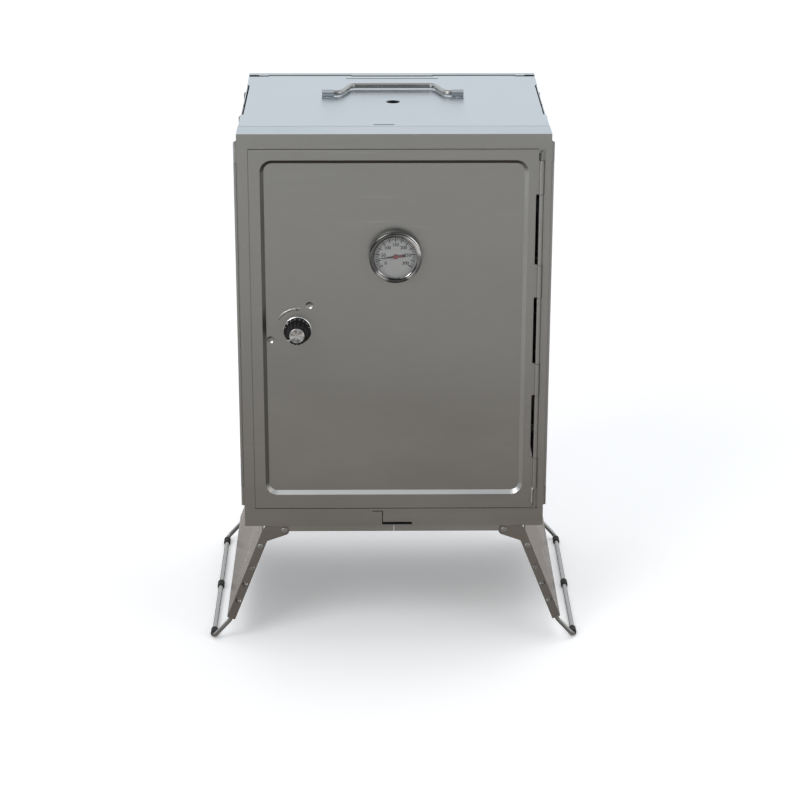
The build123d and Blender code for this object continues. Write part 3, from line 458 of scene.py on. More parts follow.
# %% Small finishes
def moulded(name, colour, roughness, grain_size, depth):
    """Plastic or rubber with a fine skin."""
    finish, tree, shader = new_finish(name, colour, 0.0, roughness)
    dust = speckle(tree, 90, 4.0)
    dusty = tuple(c * 1.6 + 0.004 for c in colour)
    set_inputs(tree, shader, {
        "Base Color": blend_colours(tree, squeeze(tree, dust, 0.0, 1.0), colour, dusty),
        "Roughness": squeeze(tree, dust, roughness - 0.05, roughness + 0.10),
    })
    relief(tree, shader, speckle(tree, grain_size, 3.0), 0.25, depth)
    return finish


def paint(name, colour, roughness=0.5):
    """Thin print or paint, very slightly uneven."""
    finish, tree, shader = new_finish(name, colour, 0.0, roughness)
    paler = tuple(min(1.0, c * 1.12 + 0.003) for c in colour)
    uneven = squeeze(tree, speckle(tree, 400, 2.0), 0.0, 1.0)
    set_inputs(tree, shader, {"Base Color": blend_colours(tree, uneven, colour, paler)})
    return finish


knob_black = moulded("knob_plastic", (0.008, 0.008, 0.0085), 0.42, 2600, 0.00003)
knob_black.node_tree.nodes["Principled BSDF"].inputs["Specular IOR Level"].default_value = 0.22
foot_rubber = moulded("foot_rubber", (0.022, 0.021, 0.020), 0.72, 1800, 0.00006)
dial_paint = paint("dial_paint", (0.42, 0.43, 0.415), 0.42)
print_black = paint("dial_print", (0.008, 0.008, 0.008))
needle_black = paint("needle_paint", (0.015, 0.012, 0.012), 0.35)
hub_red = paint("hub_paint", (0.23, 0.026, 0.034), 0.40)
mark_white = paint("knob_print", (0.72, 0.72, 0.70))

clear_glass, glass_tree, glass_shader = new_finish("clear_glass", (1, 1, 1), 0.0, 0.03)
set_inputs(glass_tree, glass_shader, {
    "Transmission Weight": 1.0, "IOR": 1.45,
    "Roughness": squeeze(glass_tree, speckle(glass_tree, 70, 4.0), 0.02, 0.07),
})
print("small finishes ready")

# %% [markdown]
# ## Dressing the panels
#
# The panels keep their CAD shapes and only take a finish. The grain follows the way that
# each blank was cut: across the front and the lid, upright on the folding walls and the back,
# and along the depth of the oven on the legs.

# %% Finishes on the CAD nodes
HINGE_PINS = (
    "door_hinge_pin", "left_front_pin", "right_front_pin", "left_middle_pin",
    "right_middle_pin", "left_back_pin", "right_back_pin", "top_hinge_pin",
)
DRESS = {
    steel_front: ("front_frame", "door", "latch_collar", "latch_strike", "latch_arm", "gauge_case"),
    steel_lid: ("top_plate", "handle_lugs"),
    steel_side: (
        "left_front_wall", "left_rear_wall", "right_front_wall", "right_rear_wall", "back_tray",
    ),
    steel_inside: (
        "left_front_rails", "left_rear_rails", "right_front_rails", "right_rear_rails",
        "drip_tray", "stow_clips", "flame_plate",
    ),
    steel_leg: ("left_leg", "right_leg"),
    steel_base: ("left_base_plate", "right_base_plate", "burner_ring"),
    rack_steel: ("upper_rack", "lower_rack"),
    pin_steel: (
        *HINGE_PINS, "latch_shaft", "latch_nut", "latch_washer", "gauge_nut", "gauge_stem",
        "leg_pins", "lug_rivets", "left_leg_rivets", "right_leg_rivets",
    ),
    wire_steel: ("carry_handle", "left_foot_wire", "right_foot_wire"),
    bright_chrome: ("gauge_bezel", "knob_cap"),
    knob_black: ("knob",),
    foot_rubber: ("left_foot_tips", "right_foot_tips"),
    dial_paint: ("gauge_dial",),
    clear_glass: ("gauge_glass",),
    needle_black: ("gauge_needle",),
}
dressed = 0
for finish, names in DRESS.items():
    for name in names:
        mesh = nodes[name].data
        mesh.materials.clear()
        mesh.materials.append(finish)
        dressed += 1
print("nodes dressed:", dressed, "of", len(nodes))


# %% [markdown]
# ## Small tools for meshes
#
# A new piece starts as a bmesh, is turned into a mesh object at the origin, gets its
# finish, and rides on the body that carries it. Smooth shading makes round things round, and
# edges sharper than a chosen angle stay crisp. A piece that takes the place of a node hides
# that node.

# %% Pieces
def make_piece(name, bm, finish, body, replaced=(), sharp=40):
    """A finished piece from a bmesh."""
    bmesh.ops.remove_doubles(bm, verts=bm.verts, dist=1e-7)
    bmesh.ops.recalc_face_normals(bm, faces=bm.faces)
    mesh = bpy.data.meshes.new(name)
    bm.to_mesh(mesh)
    bm.free()
    mesh.shade_smooth()
    mesh.set_sharp_from_angle(angle=math.radians(sharp))
    mesh.materials.append(finish)
    piece = bpy.data.objects.new(name, mesh)
    scene.collection.objects.link(piece)
    if replaced:
        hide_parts(*replaced)
    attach(piece, body)
    print(name, "has", len(mesh.polygons), "faces")
    return piece


def remake(name, bm, finish, body, node, sharp=40):
    """A piece that takes the place of one node, which it hides."""
    return make_piece(name, bm, finish, body, [node], sharp)


slots = {entry["material_slot"] for entry in frame["record"]["subparts"]}
print("slots in the record:", sorted(slots))

# %% [markdown]
# The lathe spins a half outline, a list of radii and heights, about an axis. The real knob,
# rim and rivets were made in the same way.

# %% Lathe
MM = 0.001
TO_VIEWER = (0, -1, 0)


def outline_mm(*pairs):
    """Pairs of lengths in millimetres, as metres."""
    return [(radius * MM, height * MM) for radius, height in pairs]


def aim_at(axis):
    """The turn that brings Z to an axis."""
    return Vector((0, 0, 1)).rotation_difference(Vector(axis)).to_matrix().to_4x4()


def lathe(outline, centre, axis, steps=96):
    """Spins an outline of (radius, height) pairs about an axis through a centre."""
    bm = bmesh.new()
    points = [bm.verts.new((radius, 0, height)) for radius, height in outline]
    edges = [bm.edges.new(pair) for pair in zip(points, points[1:])]
    bmesh.ops.spin(
        bm, geom=points + edges, cent=(0, 0, 0), axis=(0, 0, 1), dvec=(0, 0, 0),
        angle=2 * math.pi, steps=steps, use_merge=True, use_duplicate=False,
    )
    bmesh.ops.remove_doubles(bm, verts=bm.verts, dist=1e-7)
    bmesh.ops.transform(bm, matrix=Matrix.Translation(centre) @ aim_at(axis), verts=bm.verts)
    return bm


print("lathe ready")


# %% [markdown]
# ## Cards for polished metal
#
# Polished metal mirrors whatever stands round it, and bright and dark cards are what give a
# round rim its form. This finish carries painted reflections of such cards in its colour, as
# a colour ramp over the angle about the axis of the piece.

# %% Polished metal
def turn_about(tree, centre):
    """The angle about an axis that points at the viewer, in radians."""
    place = place_on_object(tree, centre=(centre[0], 0, centre[1]))
    split = add_node(tree, "SeparateXYZ", {0: place}).outputs
    return maths(tree, "ARCTAN2", split["Z"], split["X"])


def chrome_with_painted_cards(name, centre, cards, low, high):
    """Polished metal with painted reflections of cards: pairs of an angle, seen from the front, and
    a tone.
    """
    finish, tree, shader = new_finish(name, (0.5, 0.5, 0.5), 1.0, low)
    share = squeeze(tree, turn_about(tree, centre), 0.0, 1.0, -math.pi, math.pi)
    ramp = add_node(tree, "ValToRGB", {"Fac": share})
    stops = ramp.color_ramp.elements
    while len(stops) < len(cards):
        stops.new(0.5)
    for stop, (angle, _) in zip(stops, cards):
        stop.position = angle / 360 + 0.5
    for stop, (_, tone) in zip(stops, cards):
        stop.color = (tone, tone * 0.985, tone * 0.97, 1)
    smudge = squeeze(tree, speckle(tree, 60, 3.0), low, high)
    set_inputs(tree, shader, {"Base Color": ramp.outputs["Color"], "Roughness": smudge})
    return finish


print("polished metal ready")

# %% [markdown]
# ## The thermometer's rim
#
# The rim is a strip of polished steel, rolled over the glass. Its section is a soft hump:
# high in the middle, and curved down to the glass inside and to the case outside. A lathe
# makes it in one go.

# %% Rim
def middle_of(low, high, *axes):
    """The middle of a box, along the axes asked for."""
    return [(low[axis] + high[axis]) / 2 for axis in axes]


gauge_low, gauge_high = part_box("gauge_bezel")
gauge_x, gauge_z = middle_of(gauge_low, gauge_high, 0, 2)
rim_front, rim_back = gauge_low[1], gauge_high[1]
rim_depth = (rim_back - rim_front) / MM
print("rim centre:", round(gauge_x, 4), round(gauge_z, 4), "depth", round(rim_depth, 2), "mm")

RIM_OUTER, RIM_INNER, RIM_SEAT, HUMP_FOOT, HUMP_STEPS = 28.0, 22.6, 26.05, 1.85, 14
rim_middle, rim_half = (RIM_OUTER + RIM_INNER) / 2, (RIM_OUTER - RIM_INNER) / 2
hump = [(RIM_SEAT, 0.05), (RIM_OUTER, 0.0)]
for step in range(HUMP_STEPS + 1):
    part = step / HUMP_STEPS * math.pi
    rise = (rim_depth - HUMP_FOOT) * math.sin(part) ** 0.8
    hump.append((rim_middle + rim_half * math.cos(part), HUMP_FOOT + rise))
hump += [(24.9, 1.83), (25.9, 1.7), (RIM_SEAT, 0.05)]
# painted reflections: dark and bright cards round the rim, by the angle about its axis
rim_painted_chrome = chrome_with_painted_cards("rim_painted_chrome", (gauge_x, gauge_z), (
    (-180, 0.10), (-146, 0.12), (-136, 0.62), (-116, 0.50), (-106, 0.09), (-64, 0.09),
    (-56, 0.60), (-42, 0.36), (-32, 0.16), (4, 0.18), (16, 0.66), (56, 0.66), (70, 0.24),
    (98, 0.12), (128, 0.16), (180, 0.10),
), 0.06, 0.16)
rim = lathe(outline_mm(*hump), (gauge_x, rim_back, gauge_z), TO_VIEWER, 128)
remake("rolled_rim", rim, rim_painted_chrome, "door_leaf", "gauge_bezel")

# %% [markdown]
# The case behind the rim is a drawn shell with a threaded neck, and the lens in front is very
# slightly domed, so that it mirrors the lamps as a soft patch and not as a flat sheet.

# %% Case and lens
case_low, case_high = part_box("gauge_case")
CASE_RADIUS, CASE_WALL, NECK_RADIUS, CASE_DEPTH = 26.0, 1.2, 4.5, 9.0
INNER_RADIUS = CASE_RADIUS - CASE_WALL
case_long = (case_high[1] - case_low[1]) / MM
neck_end = CASE_DEPTH - case_long
case_outline = outline_mm(
    (0, neck_end), (NECK_RADIUS - 0.4, neck_end), (NECK_RADIUS, neck_end + 0.4), (NECK_RADIUS, 0.0),
    (CASE_RADIUS - 1.0, 0.0), (CASE_RADIUS - 0.3, 0.3), (CASE_RADIUS, 1.0),
    (CASE_RADIUS, CASE_DEPTH),
    (INNER_RADIUS, CASE_DEPTH), (INNER_RADIUS, CASE_WALL), (0, CASE_WALL),
)
case_place = (gauge_x, case_low[1] + CASE_DEPTH * MM, gauge_z)
case = lathe(case_outline, case_place, TO_VIEWER, 96)
remake("drawn_case", case, pin_steel, "door_leaf", "gauge_case")

lens_low, lens_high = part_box("gauge_glass")
lens_radius, lens_thick = (lens_high[0] - lens_low[0]) / 2, lens_high[1] - lens_low[1]
LENS_RISE, LENS_STEPS = 0.8 * MM, 8
lens = [(0, 0), (lens_radius, 0), (lens_radius, lens_thick)]
for step in range(1, LENS_STEPS + 1):
    reach = 1 - step / LENS_STEPS
    lens.append((lens_radius * reach, lens_thick + LENS_RISE * (1 - reach ** 2)))
glass = lathe(lens, (gauge_x, lens_high[1], gauge_z), TO_VIEWER, 96)
remake("domed_lens", glass, clear_glass, "door_leaf", "gauge_glass")

# %% [markdown]
# ## The dial
#
# The print on the dial is a scale over some 250 degrees, with short ticks, a longer one at
# each fourth and plain numbers inside. All print is drawn lying flat about the origin, and is
# then stood upright to face the viewer.

# %% Flat drawings
STAND = Matrix.Rotation(math.pi / 2, 4, "X")


def turn_flat(bm, degrees, verts, axis="Z"):
    """Turns points about the origin of a drawing."""
    turn = Matrix.Rotation(math.radians(degrees), 3, axis)
    bmesh.ops.rotate(bm, cent=(0, 0, 0), matrix=turn, verts=verts)


def put_up(bm, place):
    """Stands a drawing that lies flat upright, facing the viewer, with its origin at a place."""
    bmesh.ops.transform(bm, matrix=Matrix.Translation(place) @ STAND, verts=bm.verts)


def flat_bar(start, end, width, degrees):
    """A flat bar between two distances from the origin, turned about it."""
    bm = bmesh.new()
    bar = bmesh.ops.create_grid(bm, x_segments=1, y_segments=1, size=0.5)["verts"]
    bmesh.ops.scale(bm, vec=((end - start) * MM, width * MM, 1), verts=bar)
    bmesh.ops.translate(bm, vec=((end + start) / 2 * MM, 0, 0), verts=bar)
    turn_flat(bm, degrees, bar)
    return bm


print("flat drawings ready")

# %% [markdown]
# One tick is a thin bar, made once and spun round the centre: the spin operator copies it
# when it is told to duplicate.

# %% Scale
dial_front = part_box("gauge_dial")[0][1]
SCALE_START, SCALE_SWEEP = 215.0, 250.0
PRINT_LIFT, PRINT_THICK = 0.00006, 0.00004


def print_drawing(bm, front):
    """Stands a flat drawing on the dial and gives it the thickness of print."""
    put_up(bm, (gauge_x, front, gauge_z))
    bmesh.ops.solidify(bm, geom=bm.faces[:], thickness=PRINT_THICK)


def tick_ring(name, count, inner, outer, width):
    """Ticks from the low end of the scale to the high end."""
    bm = flat_bar(inner, outer, width, SCALE_START)
    bmesh.ops.spin(
        bm, geom=bm.verts[:] + bm.edges[:] + bm.faces[:], cent=(0, 0, 0), axis=(0, 0, 1),
        dvec=(0, 0, 0), angle=-math.radians(SCALE_SWEEP), steps=count, use_duplicate=True,
    )
    print_drawing(bm, dial_front - PRINT_LIFT)
    return make_piece(name, bm, print_black, "door_leaf")


tick_ring("short_ticks", 48, 18.0, 21.6, 0.70)
tick_ring("long_ticks", 12, 16.4, 21.6, 1.15)


# %% [markdown]
# The numbers start as text. Each one is turned into a mesh, stood upright and moved to its
# place on the scale.

# %% Numbers
NUMBER_RING, NUMBER_SIZE, NUMBER_SWELL = 12.8, 4.8, 0.14
NUMBERS, NUMBER_STEP = 7, 50


def dial_number(text, angle):
    """A printed number, upright, with its middle at a point of the scale."""
    curve = bpy.data.curves.new("number_" + text, "FONT")
    curve.body = text
    curve.size = NUMBER_SIZE * MM
    curve.offset = NUMBER_SWELL * MM
    curve.align_x = curve.align_y = "CENTER"
    source = bpy.data.objects.new("number_source_" + text, curve)
    scene.collection.objects.link(source)
    bpy.context.view_layer.update()
    mesh = bpy.data.meshes.new_from_object(source)
    bpy.data.objects.remove(source)
    bm = bmesh.new()
    bm.from_mesh(mesh)
    bpy.data.meshes.remove(mesh)
    turned = math.radians(angle)
    put_up(bm, (
        gauge_x + NUMBER_RING * MM * math.cos(turned),
        dial_front - PRINT_LIFT,
        gauge_z + NUMBER_RING * MM * math.sin(turned),
    ))
    return make_piece("dial_number_" + text, bm, print_black, "door_leaf")


for index in range(NUMBERS):
    dial_number(str(NUMBER_STEP * index), SCALE_START - index * SCALE_SWEEP / (NUMBERS - 1))

# %% [markdown]
# ## The needle's hub
#
# A red cap is pressed over the middle of the needle, with a short red stripe along its tail.
# It belongs to the needle's body, so that it turns with it.

# %% Hub
needle_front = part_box("gauge_needle")[0][1]
NEEDLE_ANGLE, HUB_RADIUS, HUB_SINK, STRIPE_LIFT = 187.0, 2.2, 0.3, 0.05
hub_outline = outline_mm(
    (0, 0.42), (1.3, 0.36), (2.05, 0.12), (HUB_RADIUS, 0.0), (HUB_RADIUS, -HUB_SINK), (0, -HUB_SINK)
)
hub_place = (gauge_x, needle_front - HUB_SINK * MM, gauge_z)
hub = lathe(hub_outline, hub_place, TO_VIEWER, 48)
make_piece("needle_hub", hub, hub_red, "needle")
stripe = flat_bar(-8.0, -1.0, 1.5, NEEDLE_ANGLE)
print_drawing(stripe, needle_front - STRIPE_LIFT * MM)
make_piece("needle_stripe", stripe, hub_red, "needle")

# %% [markdown]
# ## The knob
#
# The knob is one moulding: a thin skirt with white marks, and a fluted grip that narrows
# towards its face, where a metal cap is pressed in. The skirt and cap are lathe work. The
# grip starts as a circle whose points are drawn in between the ribs, and is then extruded
# and scaled in steps, so that the flutes run out smoothly at the rounded shoulder.

# %% Growing a loop
def verts_of(geometry):
    """The points among what an operator made."""
    return [item for item in geometry if isinstance(item, bmesh.types.BMVert)]


def edges_of(geometry):
    """The edges among what an operator made."""
    return [item for item in geometry if isinstance(item, bmesh.types.BMEdge)]


def push_out(bm, edges):
    """Extrudes a loop of edges and gives back the points and edges at its new end."""
    grown = bmesh.ops.extrude_edge_only(bm, edges=edges)["geom"]
    ring = verts_of(grown)
    return ring, [edge for edge in edges_of(grown) if all(v in ring for v in edge.verts)]


print("ready to grow loops")

# %% [markdown]
# With that, the knob itself takes a circle, a wave for the ribs and six steps outwards.

# %% Knob
knob_low, knob_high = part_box("knob")
knob_x, knob_z = middle_of(knob_low, knob_high, 0, 2)
knob_back, knob_face = knob_high[1], knob_low[1]
knob_tall = (knob_back - knob_face) / MM
print("knob centre:", round(knob_x, 4), round(knob_z, 4), "height", round(knob_tall, 1), "mm")

SKIRT_RADIUS, SKIRT_TALL = 14.7, 3.05
GRIP_RADIUS, GRIP_FOOT = 12.0, 3.0
RIBS, POINTS_PER_RIB, RIB_DEPTH = 16, 8, 0.095
GRIP_SHAPE = ((0.62, 0.945), (0.88, 0.925), (0.95, 0.90), (0.985, 0.865), (1.0, 0.80), (1.0, 0.70))

skirt_outline = outline_mm(
    (0, 0), (SKIRT_RADIUS, 0), (SKIRT_RADIUS, 1.0), (14.55, 1.35), (13.9, 2.3), (13.2, 2.9),
    (12.6, SKIRT_TALL), (0, SKIRT_TALL),
)
knob_bm = lathe(skirt_outline, (0, 0, 0), (0, 0, 1), 96)
ring = bmesh.ops.create_circle(
    knob_bm, cap_ends=False, segments=RIBS * POINTS_PER_RIB, radius=GRIP_RADIUS * MM
)["verts"]
for vert in ring:
    hollow = max(0.0, math.cos(RIBS * math.atan2(vert.co.y, vert.co.x))) ** 2
    vert.co.xy = vert.co.xy * (1 - RIB_DEPTH * hollow)
bmesh.ops.translate(knob_bm, vec=(0, 0, GRIP_FOOT * MM), verts=ring)
edges = [e for e in knob_bm.edges if all(v in ring for v in e.verts)]
grip_tall = knob_tall - GRIP_FOOT
last_height, last_scale = 0.0, 1.0
for height, scale in GRIP_SHAPE:
    ring, edges = push_out(knob_bm, edges)
    bmesh.ops.translate(knob_bm, vec=(0, 0, (height - last_height) * grip_tall * MM), verts=ring)
    bmesh.ops.scale(knob_bm, vec=(scale / last_scale, scale / last_scale, 1), verts=ring)
    last_height, last_scale = height, scale
bmesh.ops.holes_fill(knob_bm, edges=edges, sides=0)
put_up(knob_bm, (knob_x, knob_back, knob_z))
remake("fluted_knob", knob_bm, knob_black, "latch", "knob", sharp=50)

# %% [markdown]
# ## The knob's cap
#
# The cap is turned on a lathe, which leaves rings so fine that they show only as light and
# dark wedges of reflected light. Here the wedges are a painted reflection in the colour: the
# angle about the knob's axis, folded six times, gives them.

# %% Turned cap
turned_cap, cap_tree, cap_shader = new_finish("turned_cap", (0.55, 0.55, 0.54), 1.0, 0.30)
WEDGES = 6.0
wedge = maths(cap_tree, "MULTIPLY", turn_about(cap_tree, (knob_x, knob_z)), WEDGES)
reflection_wedge_share = squeeze(cap_tree, maths(cap_tree, "SINE", wedge), 0.0, 1.0, -1.0, 1.0)
# painted reflection: light and dark wedges in the cap's colour
painted_wedge_reflection = blend_colours(cap_tree, reflection_wedge_share, (0.40, 0.40, 0.39), (0.72, 0.72, 0.71))
set_inputs(cap_tree, cap_shader, {"Base Color": painted_wedge_reflection})

cap_low, cap_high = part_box("knob_cap")
cap_tall = (cap_high[1] - cap_low[1]) / MM
cap_outline = outline_mm(
    (0, cap_tall - 0.3), (6.2, cap_tall - 0.3), (6.6, cap_tall - 0.05), (7.4, cap_tall),
    (7.9, cap_tall - 0.15), (8.2, cap_tall - 0.55), (8.2, 0), (0, 0),
)
cap = lathe(cap_outline, (knob_x, cap_high[1], knob_z), TO_VIEWER, 96)
remake("turned_cap", cap, turned_cap, "latch", "knob_cap")

# %% [markdown]
# A white pointer leans on the rounded shoulder of the grip. It is a small block with
# softened edges.

# %% Knob pointer
def block(bm, length, width, thick):
    """A small block about the origin of a drawing."""
    corners = bmesh.ops.create_cube(bm, size=1.0)["verts"]
    bmesh.ops.scale(bm, vec=(length * MM, width * MM, thick * MM), verts=corners)
    return corners


POINTER_LEAN, POINTER_ANGLE, POINTER_REACH, POINTER_HEIGHT = 32, 212, 10.2, 0.955
pointer = bmesh.new()
bar = block(pointer, 3.2, 1.5, 0.7)
turn_flat(pointer, POINTER_LEAN, bar, "Y")
lift = (GRIP_FOOT + POINTER_HEIGHT * grip_tall) * MM
bmesh.ops.translate(pointer, vec=(POINTER_REACH * MM, 0, lift), verts=bar)
bmesh.ops.bevel(
    pointer, geom=pointer.edges[:], offset=0.1 * MM, segments=2, profile=0.5,
    affect="EDGES", material=-1,
)
turn_flat(pointer, POINTER_ANGLE, pointer.verts)
put_up(pointer, (knob_x, knob_back, knob_z))
make_piece("knob_pointer", pointer, mark_white, "latch")

# %% [markdown]
# The knob stands on a polished collar, a short drum with a rounded rim. Like the rim of the
# thermometer, its colour carries a painted reflection of a bright card above and a dim one below.

# %% Collar
collar_low, collar_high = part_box("latch_collar")
collar_radius, collar_tall = (collar_high[0] - collar_low[0]) / 2, collar_high[1] - collar_low[1]
SHAFT_HOLE = 3.1 * MM
COLLAR_RIM = ((1.0, 0.0), (1.0, 0.35), (0.985, 0.70), (0.95, 0.93), (0.90, 1.0))
# painted reflection: a bright card above and a dim one below
collar_painted_chrome = chrome_with_painted_cards("collar_painted_chrome", (knob_x, knob_z), (
    (-180, 0.60), (-160, 0.30), (-30, 0.25), (-5, 0.45), (15, 1.0), (168, 1.0), (180, 0.60),
), 0.24, 0.34)
collar_outline = [(r * collar_radius, h * collar_tall) for r, h in COLLAR_RIM]
collar_outline = [(SHAFT_HOLE, 0), *collar_outline, (SHAFT_HOLE, collar_tall), (SHAFT_HOLE, 0)]
collar = lathe(collar_outline, (knob_x, collar_high[1], knob_z), TO_VIEWER, 96)
remake("bright_collar", collar, collar_painted_chrome, "door_leaf", "latch_collar")

# %% [markdown]
# A row of pale marks runs round the upper half of the skirt, one of them longer than the rest.

# %% Knob scale
LONG_MARK_AT, MARK_RING, MARK_LIFT = 140, 13.35, 2.68
marks = bmesh.new()
for angle in range(20, 161, 20):
    length, width = (2.2, 1.5) if angle == LONG_MARK_AT else (1.0, 0.5)
    bar = block(marks, length, width, 0.3)
    bmesh.ops.translate(marks, vec=(MARK_RING * MM, 0, MARK_LIFT * MM), verts=bar)
    turn_flat(marks, angle, bar)
put_up(marks, (knob_x, knob_back, knob_z))
make_piece("knob_scale", marks, mark_white, "latch")

# %% [markdown]
# ## The pressed arrow
#
# An arc with a small head is pressed outwards in the door above the knob, to show which way
# the latch opens. The arc is a round bead, spun about the knob's own axis and half sunk in
# the door. The head is a flat wedge that narrows towards its top.

# %% Arrow
door_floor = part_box("latch_collar")[1][1]
ARROW_RADIUS, ARROW_FROM, ARROW_TO = 24.0, 149.0, 92.0
BEAD_RADIUS, HEAD_HALF, HEAD_LONG = 1.1, 2.3, 6.2
arrow = bmesh.new()
bead = bmesh.ops.create_circle(arrow, cap_ends=False, segments=16, radius=BEAD_RADIUS * MM)["verts"]
turn_flat(arrow, 90, bead, "X")
bmesh.ops.translate(arrow, vec=(ARROW_RADIUS * MM, 0, 0), verts=bead)
turn_flat(arrow, ARROW_FROM, bead)
bmesh.ops.spin(
    arrow, geom=arrow.verts[:] + arrow.edges[:], cent=(0, 0, 0), axis=(0, 0, 1), dvec=(0, 0, 0),
    angle=math.radians(ARROW_TO - ARROW_FROM), steps=24, use_duplicate=False,
)
bmesh.ops.holes_fill(arrow, edges=[e for e in arrow.edges if e.is_boundary], sides=0)

corners = ((0, HEAD_HALF), (0, -HEAD_HALF), (HEAD_LONG, 0))
head = [arrow.verts.new((x * MM, y * MM, 0)) for x, y in corners]
head_face = arrow.faces.new(head)
raised = verts_of(bmesh.ops.extrude_face_region(arrow, geom=[head_face])["geom"])
bmesh.ops.translate(arrow, vec=(0, 0, BEAD_RADIUS * MM), verts=raised)
bmesh.ops.scale(arrow, vec=(0.5, 0.3, 1), verts=raised, space=Matrix.Translation((-1.8 * MM, 0, 0)))
head += raised
turn_flat(arrow, ARROW_TO - 90, head)
end = math.radians(ARROW_TO)
tip_place = (ARROW_RADIUS * MM * math.cos(end), ARROW_RADIUS * MM * math.sin(end), 0)
bmesh.ops.translate(arrow, vec=tip_place, verts=head)
put_up(arrow, (knob_x, door_floor, knob_z))
make_piece("pressed_arrow", arrow, steel_front, "door_leaf")


# %% [markdown]
# ## Bent wire
#
# The carry handle and the feet are round wire with tight bends. A wire is made as a bender
# makes it: a disc is pushed forward for each straight run and swung about a centre for each
# bend. The run stops short of the corner by the bend's radius times the tangent of half
# the turn, so the two always meet smoothly.

# %% Wire bender
def bent_wire(points, bends, radius, sides=32):
    """A solid wire through corner points, with a bend radius at each inner corner."""
    points = [Vector(p) for p in points]
    bm = bmesh.new()
    ring = bmesh.ops.create_circle(bm, cap_ends=True, segments=sides, radius=radius)["verts"]
    heading = (points[1] - points[0]).normalized()
    bmesh.ops.transform(bm, matrix=Matrix.Translation(points[0]) @ aim_at(heading), verts=ring)
    edges = bm.edges[:]
    here = points[0]
    for index, corner in enumerate(points[1:]):
        last = index == len(points) - 2
        setback = 0.0
        if not last:
            after = (points[index + 2] - corner).normalized()
            swing = heading.angle(after)
            setback = bends[index] * math.tan(swing / 2)
        stop = corner - heading * setback
        ring, edges = push_out(bm, edges)
        bmesh.ops.translate(bm, vec=stop - here, verts=ring)
        here = stop
        if last:
            break
        inward = (after - heading * heading.dot(after)).normalized()
        centre = here + inward * bends[index]
        axis = heading.cross(after).normalized()
        spun = bmesh.ops.spin(
            bm, geom=ring + edges, cent=centre, axis=axis, dvec=(0, 0, 0), angle=swing,
            steps=max(6, int(math.degrees(swing) / 6)), use_duplicate=False,
        )["geom_last"]
        ring, edges = verts_of(spun), edges_of(spun)
        here = corner + after * setback
        heading = after
    bmesh.ops.holes_fill(bm, edges=edges, sides=0)
    return bm


print("wire bender ready")

# %% [markdown]
# The handle is the first wire: two short axle ends, a bend down on each side and the straight
# grip between them. Half the route is written, and the other half mirrors it.

# %% Carry handle
handle_low, handle_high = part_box("carry_handle")
HANDLE_WIRE, HANDLE_BEND, AXLE_END, GRIP_END = 0.003, 0.008, 0.058, 0.047
handle_z = (handle_low[2] + handle_high[2]) / 2
axle_y, grip_y = handle_low[1] + HANDLE_WIRE, handle_high[1] - HANDLE_WIRE
half = [(handle_high[0], axle_y), (AXLE_END, axle_y), (GRIP_END, grip_y)]
route = [(-x, y, handle_z) for x, y in half] + [(x, y, handle_z) for x, y in half[::-1]]
bail = bent_wire(route, [HANDLE_BEND] * 4, HANDLE_WIRE)
remake("carry_bail", bail, wire_steel, "handle", "carry_handle")

# %% [markdown]
# Each leg holds a wire foot. The wire hooks into the leg plate at both ends, comes down along
# it to a knee and runs flat on the ground from front to back.

# %% Wire feet
HOOK, KNEE, FOOT = (0.15882, 0.09124), (0.18505, 0.02463), (0.204, 0.0036)
FOOT_WIRE, HOOK_LONG, FOOT_BENDS = 0.0025, 0.0057, [0.003, 0.012, 0.006, 0.006, 0.012, 0.003]
for side, name in ((1, "right"), (-1, "left")):
    low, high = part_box(name + "_foot_wire")
    near, far = low[1] + HOOK_LONG, high[1] - HOOK_LONG
    corners = (
        (HOOK, low[1]), (HOOK, near), (KNEE, near), (FOOT, near),
        (FOOT, far), (KNEE, far), (HOOK, far), (HOOK, high[1]),
    )
    route = [(side * x, y, z) for (x, z), y in corners]
    print(name, "foot wire box:", [round(v, 4) for v in low], [round(v, 4) for v in high])
    foot = bent_wire(route, FOOT_BENDS, FOOT_WIRE)
    remake(name + "_bent_foot", foot, wire_steel, name + "_stand_leg", name + "_foot_wire")

# %% [markdown]
# ## Rivets and pins
#
# A riveted head is a shallow dome with a rounded rim, which catches one small highlight. All
# heads of one node go into one mesh. The lathe makes a head, and a list of places and
# directions says where each one sits.

# %% Rivets
DOME = (
    (0, 1.0), (0.35, 0.97), (0.62, 0.85), (0.84, 0.62), (0.96, 0.34), (1.0, 0.10),
    (1.0, 0.0), (0, 0),
)


def gather(pieces):
    """Several bmeshes in one."""
    whole = bmesh.new()
    for piece in pieces:
        mesh = bpy.data.meshes.new("part_of_piece")
        piece.to_mesh(mesh)
        piece.free()
        whole.from_mesh(mesh)
        bpy.data.meshes.remove(mesh)
    return whole


def rivet_heads(name, node, places, radius, height, body):
    """Domed heads at places, each a centre of its foot and the way that it faces."""
    outline = [(r * radius, h * height) for r, h in DOME]
    heads = gather(lathe(outline, centre, way, 32) for centre, way in places)
    return remake(name, heads, pin_steel, body, node)


low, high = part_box("lug_rivets")
radius = (high[1] - low[1]) / 2
row_y = (low[1] + high[1]) / 2
lug_places = [((x, row_y, low[2]), (0, 0, 1)) for x in (low[0] + radius, high[0] - radius)]
rivet_heads("handle_rivets", "lug_rivets", lug_places, radius, high[2] - low[2], "top")
LEG_HEAD = 1.2 * MM
for side in ("left", "right"):
    low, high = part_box(side + "_leg_rivets")
    radius = (high[0] - low[0]) / 2
    x, z = middle_of(low, high, 0, 2)
    leg_places = [((x, low[1] + LEG_HEAD, z), TO_VIEWER), ((x, high[1] - LEG_HEAD, z), (0, 1, 0))]
    node, body = side + "_leg_rivets", side + "_stand_leg"
    rivet_heads(side + "_leg_heads", node, leg_places, radius, LEG_HEAD, body)

